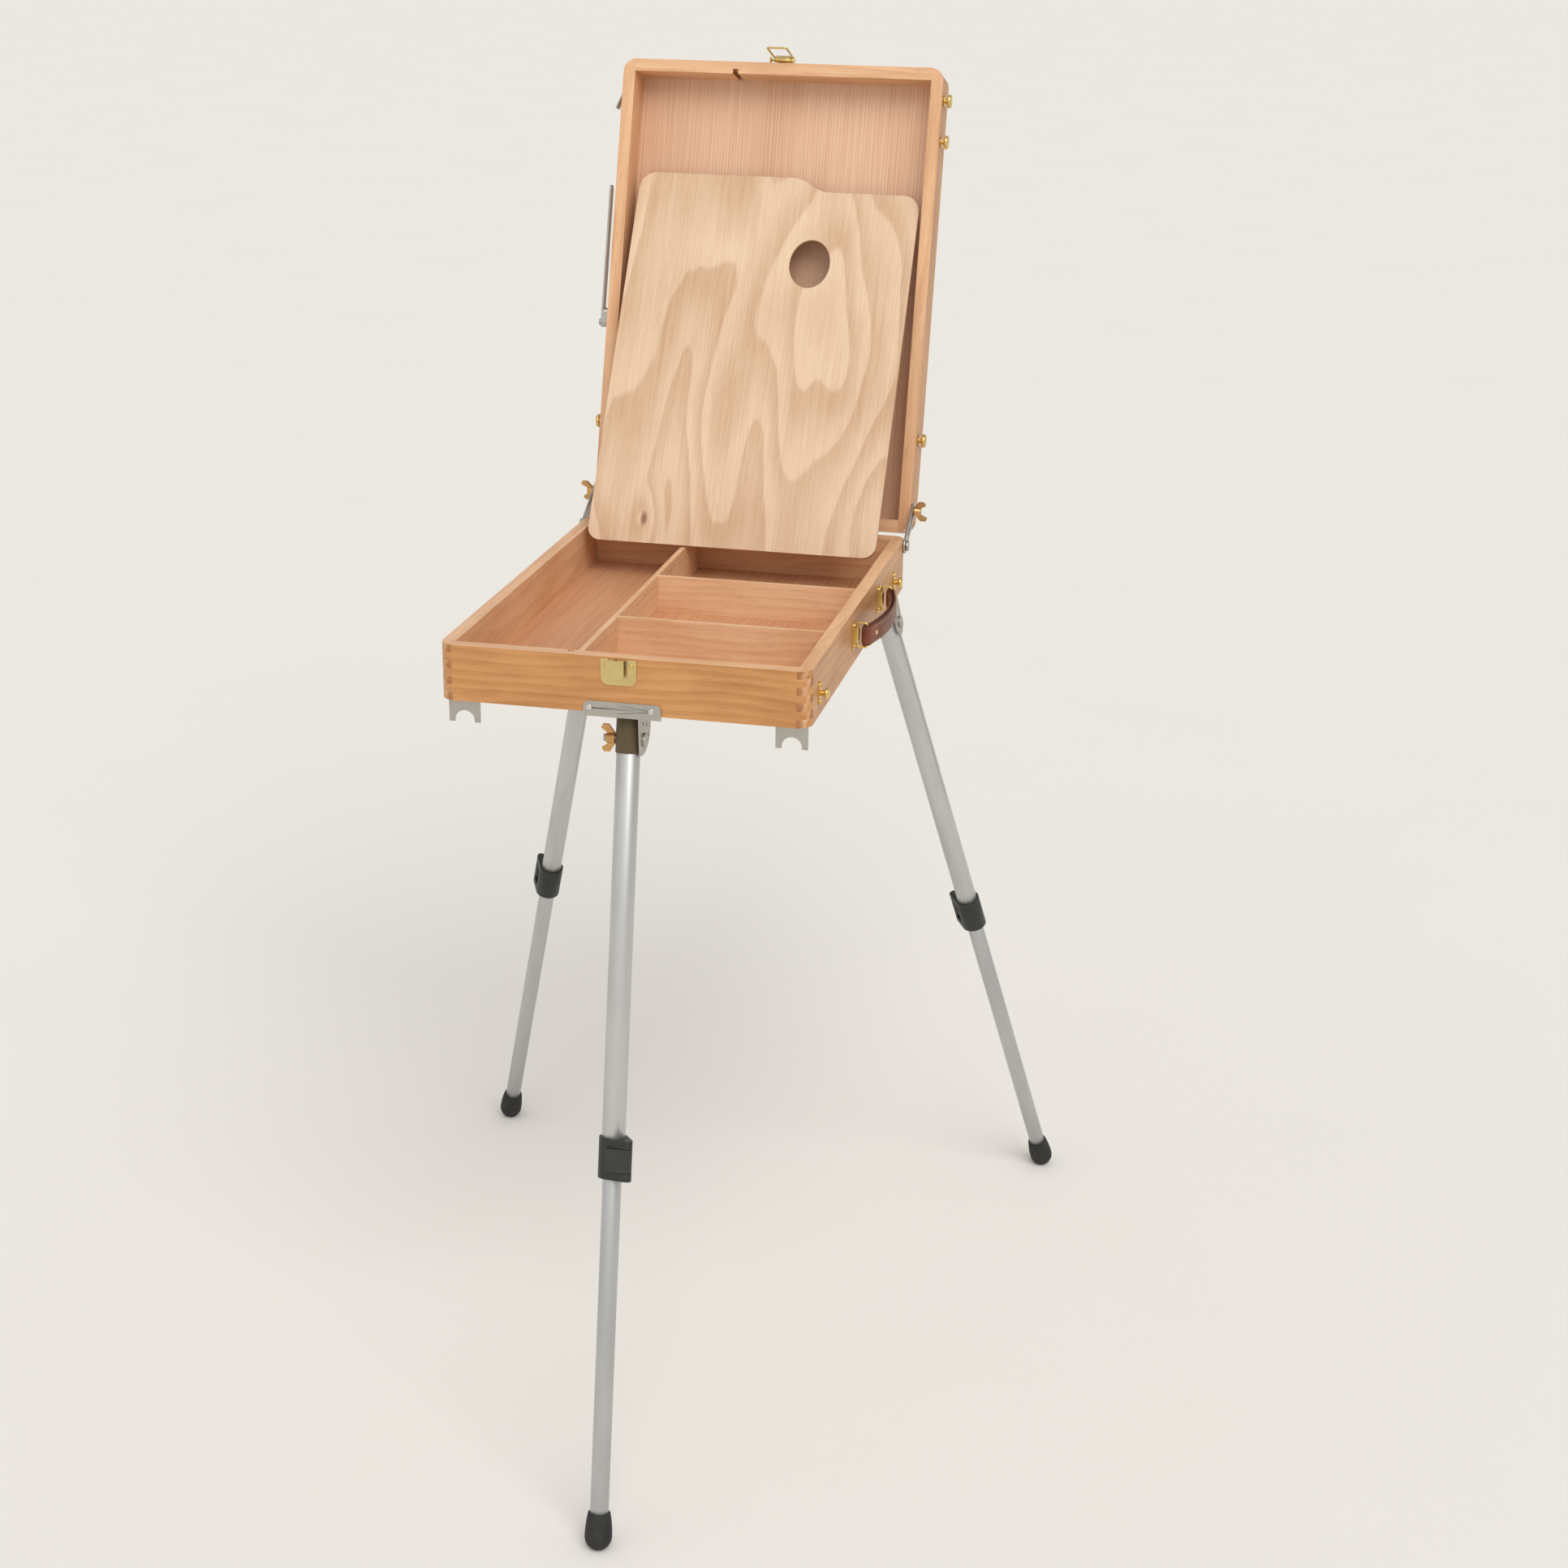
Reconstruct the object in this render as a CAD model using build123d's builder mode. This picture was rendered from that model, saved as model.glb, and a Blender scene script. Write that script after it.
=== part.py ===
from build123d import *
from math import atan, cos, radians, sin, sqrt
import os

# French box easel: a shallow wooden paint box with a hinged lid, standing on three telescopic legs.
# Millimetres, +Z up, origin on the floor under the middle of the whole easel.
# X runs across the box, Y runs from the front of the tray to the back.

os.makedirs("parts", exist_ok=True)

# ---------------------------------------------------------------- driving dimensions
# Tray, the lower half of the box. The places below are measured from its front bottom edge.
tray_front_y = -224
tray_underside_z = 668
box_width = 300
box_length = 420
tray_height = 46
wall = 11
corner_radius = 12
tray_fingers = 7
floor_thickness = 6
rabbet_wall = 6
long_divider_left_x = -46
long_divider_thickness = 5
long_divider_dado = 4.4
divider_height = 32
cross_divider_thickness = 4
cross_divider_dado = 2
cross_divider_places = (133, 262)

# Lid, the upper half of the box, standing open and leaning back.
lid_depth = 35
lid_fingers = 5
lid_panel_thickness = 3.5
lid_lean = 16.6
lid_foot_y = 438
lid_foot_z = 44.8

# Loose palette, leaning from the dividers to the lid.
palette_width = 267
palette_length = 360
palette_thickness = 3.2
palette_lean = 32
palette_roll = -0.6
palette_foot_y = 357.5
palette_rest_gap = 0.6
palette_bottom_radius = 12
palette_top_radius = 16
palette_step_start_x = 11
palette_step_run = 37
palette_step_drop = 13
thumb_hole_x = 38
thumb_hole_height = 276
thumb_hole_width = 38
thumb_hole_length = 47

# Wood screws.
brass_head_radius = 1.9
steel_head_radius = 2.4
head_height = 1.0
shank_radius = 1.0
shank_length = 5

# Catch on the tray's front face, and drawbolt latch on the lid's top edge.
catch_left_x = -17
catch_right_x = 12
catch_bottom_z = 23.6
catch_rim_gap = 1
catch_corner_radius = 6
sheet = 1
tab_left_x = -10.5
tab_right_x = 3
tab_bottom_z = 30
tab_reach = 5
tab_hole_radius = 2
latch_x = -3
latch_base_width = 28
latch_base_near = 9
latch_base_far = 31
cheek_gap = 21
cheek_height = 7
latch_pin_radius = 1.1
latch_screw_depths = (20, 27.4)
latch_pin_depth = 13
latch_pin_height = 4
lever_hub_radius = 2
lever_width = 14
lever_sheet = 1.6
lever_tail_depth = 30
bail_pin_depth = 19
bail_pin_height = 7.5
bail_width = 19.6
bail_wire = 1.8
bail_reach = 34
bail_rise = 1.8

# Stays that hold the lid open, one each side.
stay_thickness = 1.6
stay_gap = 0.4
stay_width = 14
tray_pivot_y = 410
tray_pivot_z = 40
lid_pivot_height = 20
lid_pivot_depth = 5
stay_closed_reach = 14.9
stay_screw_radius = 2.4
stay_bolt_radius = 2
wing_span = 23

# Carrying handle and shoulder-strap studs on the right side.
handle_places = (177, 289)
handle_z = 24.5
handle_plate_width = 13
handle_plate_shift = -3
handle_screw_shift = -4.2
handle_plate_height = 23
handle_wire = 2.2
handle_ring_reach = 8
handle_ring_height = 22.5
half_strap_thickness = 3.4
strap_width = 17
strap_bow = 9
stud_places = (34, 361)
stud_z = 19
stud_plate_height = 19
stud_plate_width = 9
stud_neck_radius = 2.3
stud_neck_length = 4
stud_head_radius = 4.6
stud_head_length = 3

# Canvas fittings on the sides of the lid.
right_knob_heights = (393, 356, 85)
left_knob_heights = (86,)
knob_depth = 14
knob_radius = 6.2
knob_thickness = 3
knob_neck_radius = 2.2
knob_neck_length = 3
knob_washer_radius = 5
arm_pivot_height = 178
arm_length = 123
arm_width = 9
clip_height = 396
leaf_thickness = 1.2
leaf_half_width = 5
leaf_fall = 20
leaf_reach = 8

# Legs. Each upper tube hangs from a bracket, and the lower tube telescopes inside it.
upper_tube_diameter = 19
upper_tube_bore = 16
lower_tube_diameter = 15.2
lower_tube_bore = 12.8
front_pivot = (0.4, 17, -26)
rear_left_pivot = (-136, 395, -30)
rear_right_pivot = (139.5, 395, -30)
front_foot = (14.7, -146.7)
rear_left_foot = (-289.9, 566.1)
rear_right_foot = (283.1, 594.3)
front_collar_start = 320.5
rear_collar_start = 325
collar_length = 33
collar_grip = 24
collar_radius = 11.6
lug_length = 6.5
lever_pin_x = 14.4
lever_pin_y = 10.4
knuckle_radius = 4.2
lever_pin_radius = 1.5
lever_panel_end_x = -3
lever_panel_thickness = 2.4
tube_overlap = 45
foot_radius = 11.25
foot_neck_radius = 9.2
foot_height = 20
foot_flat = 0.6
pivot_bolt_radius = 3
running_gap = 0.05
loose_gap = 0.4
tube_top = 12
socket_radius = 10.3
socket_top = 20
socket_bottom = 11
plug_length = 30

# Sheet-steel brackets that carry the legs, and the forked clips that hold the folded rear legs.
steel = 1.5
front_flange_left_x = -31.5
front_flange_right_x = 31.6
front_flange_drop = 3
front_flange_rise = 9.6
front_flange_screws = (-26.5, 23.8)
front_flange_screw_z = 4.2
front_base_half_width = 20
front_base_length = 44
quadrant_radius = 24
quadrant_back = 23
detent_radius = 13.6
ear_radius = 12
rear_base_half_width = 14
rear_base_half_length = 22
rear_base_shift = 7.3
rear_base_screw_reach = 17
clip_width = 26
clip_drop = 20
clip_front_y = 8
clip_flange_length = 17
clip_steel = 1.2
fork_radius = 8.15
fork_centre_z = -18.55
left_clip_x = -132.25
right_clip_x = 134

# ---------------------------------------------------------------- places worked out from them
half_width = box_width / 2
inner_half_width = half_width - wall
divider_top_z = floor_thickness + divider_height
long_divider_right_x = long_divider_left_x + long_divider_thickness


def tray_level(height):
    """Level plane, height above the tray's underside."""
    return Plane(origin=(0, tray_front_y, tray_underside_z + height))


def tray_face(depth):
    """Upright plane facing the front; its x is X and its y is Z."""
    return Plane(origin=(0, tray_front_y + depth, tray_underside_z), x_dir=(1, 0, 0), z_dir=(0, -1, 0))


def tray_side(x):
    """Upright plane facing +X; its x is Y and its y is Z."""
    return Plane(origin=(x, tray_front_y, tray_underside_z), x_dir=(0, 1, 0), z_dir=(1, 0, 0))


lean = radians(lid_lean)
lid_up = Vector(0, sin(lean), cos(lean))
lid_forward = Vector(0, -cos(lean), sin(lean))
lid_rim = Plane(
    origin=(0, tray_front_y + lid_foot_y, tray_underside_z + lid_foot_z), x_dir=(1, 0, 0), z_dir=lid_forward
)


def lid_level(depth):
    """Plane parallel to the lid's rim, depth behind it; x is X and y runs up the lid."""
    return lid_rim.offset(-depth)


def lid_side(x):
    """Plane facing +X; its x runs up the lid and its y runs from the panel towards the rim."""
    return Plane(origin=lid_rim.origin + Vector(x, 0, 0), x_dir=lid_up, z_dir=(1, 0, 0))


def lid_end(height):
    """Plane facing up the lid; its x is X and its y runs from the rim to the panel."""
    return Plane(origin=lid_rim.origin + lid_up * height, x_dir=(1, 0, 0), z_dir=lid_up)


def spot(plane, x, y):
    """The same plane with its origin moved to a point on it."""
    return Plane(origin=plane.from_local_coords((x, y, 0)), x_dir=plane.x_dir, z_dir=plane.z_dir)


def turned(plane):
    """The same place seen from the other side."""
    return Plane(origin=plane.origin, x_dir=plane.x_dir, z_dir=-plane.z_dir)


def save(part, name):
    """Labels a finished piece and writes it."""
    part.label = name
    export_step(part, f"parts/{name}.step")


def cut_holes(spots, radius, depth):
    """Sinks the same hole into the current part at each spot, whose plane faces out of the hole."""
    if spots:
        with Locations(*[place.location for place in spots]):
            Cylinder(radius, 2 * depth, mode=Mode.SUBTRACT)


def screws(name, spots, head_radius):
    """A group of equal dome-headed wood screws with a driver slot."""
    with BuildPart() as group:
        with Locations(*[place.location for place in spots]):
            Cylinder(head_radius, head_height, align=(Align.CENTER, Align.CENTER, Align.MIN))
            Cylinder(shank_radius, shank_length, align=(Align.CENTER, Align.CENTER, Align.MAX))
        fillet(group.edges().filter_by(GeomType.CIRCLE).filter_by(
            lambda edge: abs(edge.radius - head_radius) < 0.01 and is_outer_end(edge, spots)), head_height * 0.6)
        with Locations(*[place.offset(head_height).location for place in spots]):
            Box(2 * head_radius, 0.5, 0.5, mode=Mode.SUBTRACT)
    save(group.part, name)


def is_outer_end(edge, spots):
    """True for the rim of a head that faces away from the surface it sits on."""
    centre = edge.arc_center
    return max(place.to_local_coords(centre).Z for place in spots if on_axis(centre, place)) > head_height / 2


def on_axis(point, place):
    local = place.to_local_coords(point)
    return sqrt(local.X ** 2 + local.Y ** 2) < 0.1 and abs(local.Z) < 2 * shank_length


# ---------------------------------------------------------------- screw places
catch_screw_z = tray_height - 6
front_face = tray_face(0)
right_face = tray_side(half_width)
left_face = turned(tray_side(-half_width))
catch_spots = [spot(front_face.offset(sheet), x, catch_screw_z) for x in (catch_left_x + 4.5, catch_right_x - 4.3)]
handle_spots = [
    spot(right_face.offset(sheet), y + handle_screw_shift, handle_z + side * (handle_plate_height / 2 - 2.8))
    for y in handle_places
    for side in (-1, 1)
]
stud_spots = [
    spot(right_face.offset(sheet), y, stud_z + side * (stud_plate_height / 2 - 2.6))
    for y in stud_places
    for side in (-1, 1)
]
flange_spots = [spot(front_face.offset(steel), x, front_flange_screw_z) for x in front_flange_screws]
underside = turned(tray_level(0))
front_base_spots = [spot(underside.offset(steel), x, -y) for x in (-15.5, -15.5 + 31) for y in (18, 38)]
clip_spots = [
    spot(underside.offset(clip_steel), x + side * 8, -(clip_front_y + 11))
    for x in (left_clip_x, right_clip_x)
    for side in (-1, 1)
]
rear_base_places = ((rear_left_pivot, 1), (rear_right_pivot, -1))
rear_base_spots = [
    spot(underside.offset(steel), pivot[0] + inward * rear_base_shift, -(pivot[1] + along))
    for pivot, inward in rear_base_places
    for along in (-rear_base_screw_reach, rear_base_screw_reach - 6)
]
lid_top_face = lid_end(box_length)
latch_spots = [
    spot(lid_top_face.offset(sheet), latch_x + side * (latch_base_width / 2 - 2.1), depth)
    for side in (-1, 1)
    for depth in latch_screw_depths
]
lid_right_face = lid_side(half_width)
lid_left_face = turned(lid_side(-half_width))
knob_spots = [spot(lid_right_face, height, -knob_depth) for height in right_knob_heights]
knob_spots += [spot(lid_left_face, height, knob_depth) for height in left_knob_heights]
arm_spot = spot(lid_left_face, arm_pivot_height, knob_depth)
canvas_clip_spot = spot(lid_left_face, clip_height, knob_depth)


# ---------------------------------------------------------------- the box's walls
def finger_layers(height, count, owner):
    """Bottom and top of each finger that belongs to one of the two walls at a corner."""
    step = height / count
    return [(index * step, (index + 1) * step) for index in range(count) if index % 2 == owner]


def build_wall(bottom_plane, height, fingers, centre, size, core, owner):
    """One wall: its core stands between the corners, and its fingers reach across them."""
    with BuildSketch(bottom_plane) as core_outline:
        with Locations(centre):
            Rectangle(*core)
    extrude(core_outline.sketch, amount=height)
    for low, high in finger_layers(height, fingers, owner):
        with BuildSketch(bottom_plane.offset(low)) as finger_outline:
            with Locations(centre):
                Rectangle(*size)
        extrude(finger_outline.sketch, amount=high - low)
    with BuildSketch(bottom_plane) as box_outline:
        with Locations((0, box_length / 2)):
            RectangleRounded(box_width, box_length, corner_radius)
    extrude(box_outline.sketch, amount=height, mode=Mode.INTERSECT)


def cut_panel(bottom_plane, thickness):
    """The rabbet that takes the floor or the lid's panel."""
    with BuildSketch(bottom_plane) as rabbet:
        panel_outline()
    extrude(rabbet.sketch, amount=thickness, mode=Mode.SUBTRACT)


def panel_outline():
    with Locations((0, box_length / 2)):
        RectangleRounded(
            box_width - 2 * rabbet_wall, box_length - 2 * rabbet_wall, corner_radius - rabbet_wall
        )


def cut_long_dado(bottom_plane, floor_top, height):
    """The slot in an end wall for the long divider; the lid's walls carry on the same slot."""
    with BuildSketch(bottom_plane.offset(floor_top)) as slot:
        long_divider_outline()
    extrude(slot.sketch, amount=height - floor_top, mode=Mode.SUBTRACT)


def long_divider_outline():
    with Locations((long_divider_left_x + long_divider_thickness / 2, box_length / 2)):
        Rectangle(long_divider_thickness, box_length - 2 * wall + 2 * long_divider_dado)


stay_screw_length = 8
left_stay_spot = spot(left_face, tray_pivot_y, -tray_pivot_z)
right_stay_spot = spot(right_face, tray_pivot_y, tray_pivot_z)
end_wall_size = (box_width, wall)
end_wall_core = (box_width - 2 * wall, wall)
side_wall_size = (wall, box_length)
side_wall_core = (wall, box_length - 2 * wall)
tray_base = tray_level(0)
lid_base = Plane(origin=lid_level(lid_depth).origin, x_dir=(1, 0, 0), z_dir=lid_forward)

# Tray, front and back walls.
with BuildPart() as tray_front:
    build_wall(tray_base, tray_height, tray_fingers, (0, wall / 2), end_wall_size, end_wall_core, 1)
    cut_panel(tray_base, floor_thickness)
    cut_long_dado(tray_base, floor_thickness, tray_height)
    cut_holes(catch_spots, shank_radius, shank_length)
    cut_holes(flange_spots, shank_radius, shank_length)
save(tray_front.part, "tray_front")

with BuildPart() as tray_back:
    build_wall(
        tray_base, tray_height, tray_fingers, (0, box_length - wall / 2), end_wall_size, end_wall_core, 1
    )
    cut_panel(tray_base, floor_thickness)
    cut_long_dado(tray_base, floor_thickness, tray_height)
    cut_holes([left_stay_spot, right_stay_spot], stay_screw_radius, stay_screw_length)
save(tray_back.part, "tray_back")

# Tray, side walls. The right one is slotted for the cross dividers.

with BuildPart() as tray_left:
    build_wall(
        tray_base, tray_height, tray_fingers, (-half_width + wall / 2, box_length / 2), side_wall_size,
        side_wall_core, 0
    )
    cut_panel(tray_base, floor_thickness)
    cut_holes([left_stay_spot], stay_screw_radius, stay_screw_length)
save(tray_left.part, "tray_left")


def cross_divider_block(place, mode=Mode.ADD):
    """The full block of a cross divider, with both of its ends in their dadoes."""
    length = inner_half_width - long_divider_right_x + 2 * cross_divider_dado
    middle = (long_divider_right_x - cross_divider_dado + length / 2, place + cross_divider_thickness / 2)
    with BuildSketch(tray_level(floor_thickness)) as block:
        with Locations(middle):
            Rectangle(length, cross_divider_thickness)
    extrude(block.sketch, amount=divider_height, mode=mode)


with BuildPart() as tray_right:
    build_wall(
        tray_base, tray_height, tray_fingers, (half_width - wall / 2, box_length / 2), side_wall_size,
        side_wall_core, 0
    )
    cut_panel(tray_base, floor_thickness)
    for place in cross_divider_places:
        cross_divider_block(place, Mode.SUBTRACT)
    cut_holes([right_stay_spot], stay_screw_radius, stay_screw_length)
    cut_holes(handle_spots, shank_radius, shank_length)
    cut_holes(stud_spots, shank_radius, shank_length)
save(tray_right.part, "tray_right")

with BuildPart() as tray_floor:
    with BuildSketch(tray_base):
        panel_outline()
    extrude(amount=floor_thickness)
    cut_holes(front_base_spots, shank_radius, shank_length)
    cut_holes(clip_spots, shank_radius, shank_length)
    cut_holes(rear_base_spots, shank_radius, shank_length)
save(tray_floor.part, "tray_floor")

with BuildPart() as long_divider:
    with BuildSketch(tray_level(floor_thickness)):
        long_divider_outline()
    extrude(amount=divider_height)
    for place in cross_divider_places:
        cross_divider_block(place, Mode.SUBTRACT)
save(long_divider.part, "long_divider")

for place, name in zip(cross_divider_places, ("cross_divider_front", "cross_divider_rear")):
    with BuildPart() as cross_divider:
        cross_divider_block(place)
    save(cross_divider.part, name)

# Lid walls. The lid's bottom wall is the one beside the hinge stays.
lid_bolt_length = 9
left_bolt_spot = spot(lid_left_face, lid_pivot_height, lid_pivot_depth)
right_bolt_spot = spot(lid_right_face, lid_pivot_height, -lid_pivot_depth)

with BuildPart() as lid_bottom_wall:
    build_wall(lid_base, lid_depth, lid_fingers, (0, wall / 2), end_wall_size, end_wall_core, 1)
    cut_panel(lid_base, lid_panel_thickness)
    cut_long_dado(lid_base, lid_panel_thickness, lid_depth)
save(lid_bottom_wall.part, "lid_bottom_wall")

with BuildPart() as lid_top_wall:
    build_wall(
        lid_base, lid_depth, lid_fingers, (0, box_length - wall / 2), end_wall_size, end_wall_core, 1
    )
    cut_panel(lid_base, lid_panel_thickness)
    cut_long_dado(lid_base, lid_panel_thickness, lid_depth)
    cut_holes(latch_spots, shank_radius, shank_length)
save(lid_top_wall.part, "lid_top_wall")

knob_screw_length = 7

with BuildPart() as lid_left_wall:
    build_wall(
        lid_base, lid_depth, lid_fingers, (-half_width + wall / 2, box_length / 2), side_wall_size,
        side_wall_core, 0
    )
    cut_panel(lid_base, lid_panel_thickness)
    cut_holes([left_bolt_spot], stay_bolt_radius + running_gap, lid_bolt_length)
    cut_holes(knob_spots[len(right_knob_heights):], shank_radius, knob_screw_length)
    cut_holes([arm_spot, canvas_clip_spot], shank_radius, knob_screw_length)
save(lid_left_wall.part, "lid_left_wall")

with BuildPart() as lid_right_wall:
    build_wall(
        lid_base, lid_depth, lid_fingers, (half_width - wall / 2, box_length / 2), side_wall_size,
        side_wall_core, 0
    )
    cut_panel(lid_base, lid_panel_thickness)
    cut_holes([right_bolt_spot], stay_bolt_radius + running_gap, lid_bolt_length)
    cut_holes(knob_spots[:len(right_knob_heights)], shank_radius, knob_screw_length)
save(lid_right_wall.part, "lid_right_wall")

with BuildPart() as lid_panel:
    with BuildSketch(lid_base):
        panel_outline()
    extrude(amount=lid_panel_thickness)
save(lid_panel.part, "lid_panel")

# ---------------------------------------------------------------- palette
palette_angle = radians(palette_lean)
palette_foot_z = divider_top_z + palette_rest_gap + palette_thickness * sin(palette_angle)
palette_front = Plane(
    origin=(0, tray_front_y + palette_foot_y, tray_underside_z + palette_foot_z),
    x_dir=(1, 0, 0),
    z_dir=(0, -cos(palette_angle), sin(palette_angle)),
).rotated((0, 0, palette_roll))
palette_left = -palette_width / 2 - 0.5
palette_right = palette_left + palette_width
step_end_x = palette_step_start_x + palette_step_run
step_middle = (palette_step_start_x + palette_step_run / 2, palette_length - palette_step_drop / 2)
shoulder = palette_length - palette_step_drop

with BuildPart() as palette:
    with BuildSketch(palette_front) as outline:
        with BuildLine():
            Polyline(
                (palette_step_start_x, palette_length), (palette_left, palette_length), (palette_left, 0),
                (palette_right, 0), (palette_right, shoulder), (step_end_x, shoulder)
            )
            TangentArc((palette_step_start_x, palette_length), step_middle, tangent=(1, 0))
            TangentArc((step_end_x, shoulder), step_middle, tangent=(-1, 0))
        make_face()
        with Locations((thumb_hole_x, thumb_hole_height)):
            Ellipse(thumb_hole_width / 2, thumb_hole_length / 2, mode=Mode.SUBTRACT)
        corners = (
            ((palette_left, 0), palette_bottom_radius),
            ((palette_right, 0), palette_bottom_radius),
            ((palette_left, palette_length), palette_top_radius),
            ((palette_right, shoulder), palette_top_radius),
        )
        for corner, radius in corners:
            fillet(outline.vertices().sort_by_distance((*corner, 0))[0], radius)
    extrude(amount=-palette_thickness)
save(palette.part, "palette")


# ---------------------------------------------------------------- catch and latch
catch_top_z = tray_height - catch_rim_gap
tab_x = (tab_left_x + tab_right_x) / 2
tab_width = tab_right_x - tab_left_x

with BuildPart() as catch_plate:
    with BuildSketch(front_face) as plate_outline:
        with Locations(((catch_left_x + catch_right_x) / 2, (catch_bottom_z + catch_top_z) / 2)):
            Rectangle(catch_right_x - catch_left_x, catch_top_z - catch_bottom_z)
        fillet(plate_outline.vertices().group_by(Axis.Y)[0], catch_corner_radius)
    extrude(amount=sheet)
    # The tab is folded out at the top and turned down in front of the plate.
    with BuildSketch(tray_side(tab_x)):
        with Locations((-(tab_reach + sheet) / 2, catch_top_z - sheet / 2)):
            Rectangle(tab_reach + sheet, sheet)
        with Locations((sheet / 2 - tab_reach - sheet, (catch_top_z + tab_bottom_z) / 2)):
            Rectangle(sheet, catch_top_z - tab_bottom_z)
        with Locations((sheet - tab_reach - sheet, tab_bottom_z + sheet / 2)):
            Rectangle(2 * sheet, sheet)
    extrude(amount=tab_width / 2, both=True)
    with Locations(Location((tab_x, tray_front_y - sheet - tab_reach / 2, tray_underside_z + catch_top_z))):
        Cylinder(tab_hole_radius, 2 * sheet + 1, mode=Mode.SUBTRACT)
    cut_holes(catch_spots, shank_radius, shank_length)
save(catch_plate.part, "catch_plate")

cheek_places = (-1, 1)
latch_side = Plane(
    origin=lid_rim.origin + lid_up * (box_length + sheet) + Vector(latch_x, 0, 0), x_dir=-lid_forward,
    z_dir=(1, 0, 0)
)


def latch_pin(depth, height, radius, half_length, mode=Mode.ADD):
    """A round bar across the latch; depth is measured from the rim and height from the base plate."""
    with BuildSketch(latch_side) as section:
        with Locations((depth, height)):
            Circle(radius)
    extrude(section.sketch, amount=half_length, both=True, mode=mode)


with BuildPart() as latch_base:
    with BuildSketch(lid_top_face) as base_outline:
        with Locations((latch_x, (latch_base_near + latch_base_far) / 2)):
            RectangleRounded(latch_base_width, latch_base_far - latch_base_near, 2)
    extrude(amount=sheet)
    for side in cheek_places:
        with BuildSketch(latch_side.offset(side * (cheek_gap / 2 + sheet / 2))):
            with Locations((latch_pin_depth, latch_pin_height)):
                Circle(cheek_height - latch_pin_height)
            with Locations((latch_pin_depth, latch_pin_height / 2)):
                Rectangle(2 * (cheek_height - latch_pin_height), latch_pin_height)
        extrude(amount=sheet / 2, both=True)
    latch_pin(latch_pin_depth, latch_pin_height, latch_pin_radius + running_gap, cheek_gap, Mode.SUBTRACT)
    cut_holes(latch_spots, shank_radius, shank_length)
save(latch_base.part, "latch_base")

with BuildPart() as latch_lever:
    # Side profile: the hub on its pin, the eye that holds the bail's wire, and a tail to lift it by.
    with BuildSketch(latch_side):
        with Locations((latch_pin_depth, latch_pin_height)):
            Circle(lever_hub_radius)
        with Locations((bail_pin_depth, bail_pin_height)):
            Circle(lever_hub_radius)
        make_hull()
    extrude(amount=lever_width / 2, both=True)
    with BuildSketch(latch_side):
        with Locations((bail_pin_depth, bail_pin_height - lever_sheet / 2)):
            Circle(lever_sheet / 2)
        with Locations((lever_tail_depth, latch_pin_height)):
            Circle(lever_sheet / 2)
        make_hull()
    extrude(amount=lever_width / 2, both=True)
    latch_pin(latch_pin_depth, latch_pin_height, latch_pin_radius, cheek_gap / 2 + sheet)
    latch_pin(bail_pin_depth, bail_pin_height, bail_wire / 2 + running_gap, cheek_gap, Mode.SUBTRACT)
save(latch_lever.part, "latch_lever")

bail_angle = atan(bail_rise / bail_reach)
bail_plane = Plane(
    origin=latch_side.from_local_coords((bail_pin_depth, bail_pin_height, 0)), x_dir=(1, 0, 0),
    z_dir=lid_up * cos(bail_angle) - lid_forward * sin(bail_angle)
)
bail_half = bail_width / 2 - bail_wire / 2

with BuildPart() as latch_bail:
    # The wire starts inside the lever's eye, runs round in a rectangle and ends in the same eye.
    with BuildLine(bail_plane):
        FilletPolyline(
            (-0.6, 0), (-bail_half, 0), (-bail_half, -bail_reach), (bail_half, -bail_reach), (bail_half, 0),
            (0.6, 0), radius=bail_wire * 1.1
        )
    with BuildSketch(Plane(origin=bail_plane.from_local_coords((-0.6, 0, 0)), z_dir=(-1, 0, 0))):
        Circle(bail_wire / 2)
    sweep()
save(latch_bail.part, "latch_bail")


# ---------------------------------------------------------------- screws
screws("tray_brass_screws", catch_spots + handle_spots + stud_spots, brass_head_radius)
bracket_spots = flange_spots + front_base_spots + rear_base_spots
screws("bracket_screws", bracket_spots + clip_spots, steel_head_radius)
screws("lid_screws", latch_spots + [canvas_clip_spot.offset(leaf_thickness)], brass_head_radius)


# ---------------------------------------------------------------- stays
def along_stay(plane):
    """The plane at a tray pivot with its x turned to run along the stay."""
    reach = right_bolt_spot.origin - right_stay_spot.origin
    return Plane(origin=plane.origin, x_dir=reach.normalized(), z_dir=plane.z_dir)


stay_reach = (right_bolt_spot.origin - right_stay_spot.origin).length
slot_radius = stay_bolt_radius + 2 * running_gap
slot_travel = stay_reach - stay_closed_reach


def build_stay(plane):
    """A flat slotted link; the tray screw is its pivot and the lid's bolt runs along its slot."""
    with BuildSketch(plane.offset(stay_gap)) as link:
        with Locations((stay_reach / 2, 0)):
            SlotCenterToCenter(stay_reach, stay_width)
        with Locations((stay_closed_reach + slot_travel / 2, 0)):
            SlotCenterToCenter(slot_travel, 2 * slot_radius, mode=Mode.SUBTRACT)
        Circle(stay_screw_radius + running_gap, mode=Mode.SUBTRACT)
    extrude(link.sketch, amount=stay_thickness)


for name, plane in (("stay_left", left_stay_spot), ("stay_right", right_stay_spot)):
    with BuildPart() as stay:
        build_stay(along_stay(plane))
    save(stay.part, name)

stay_outer = 2 * stay_gap + stay_thickness

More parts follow.
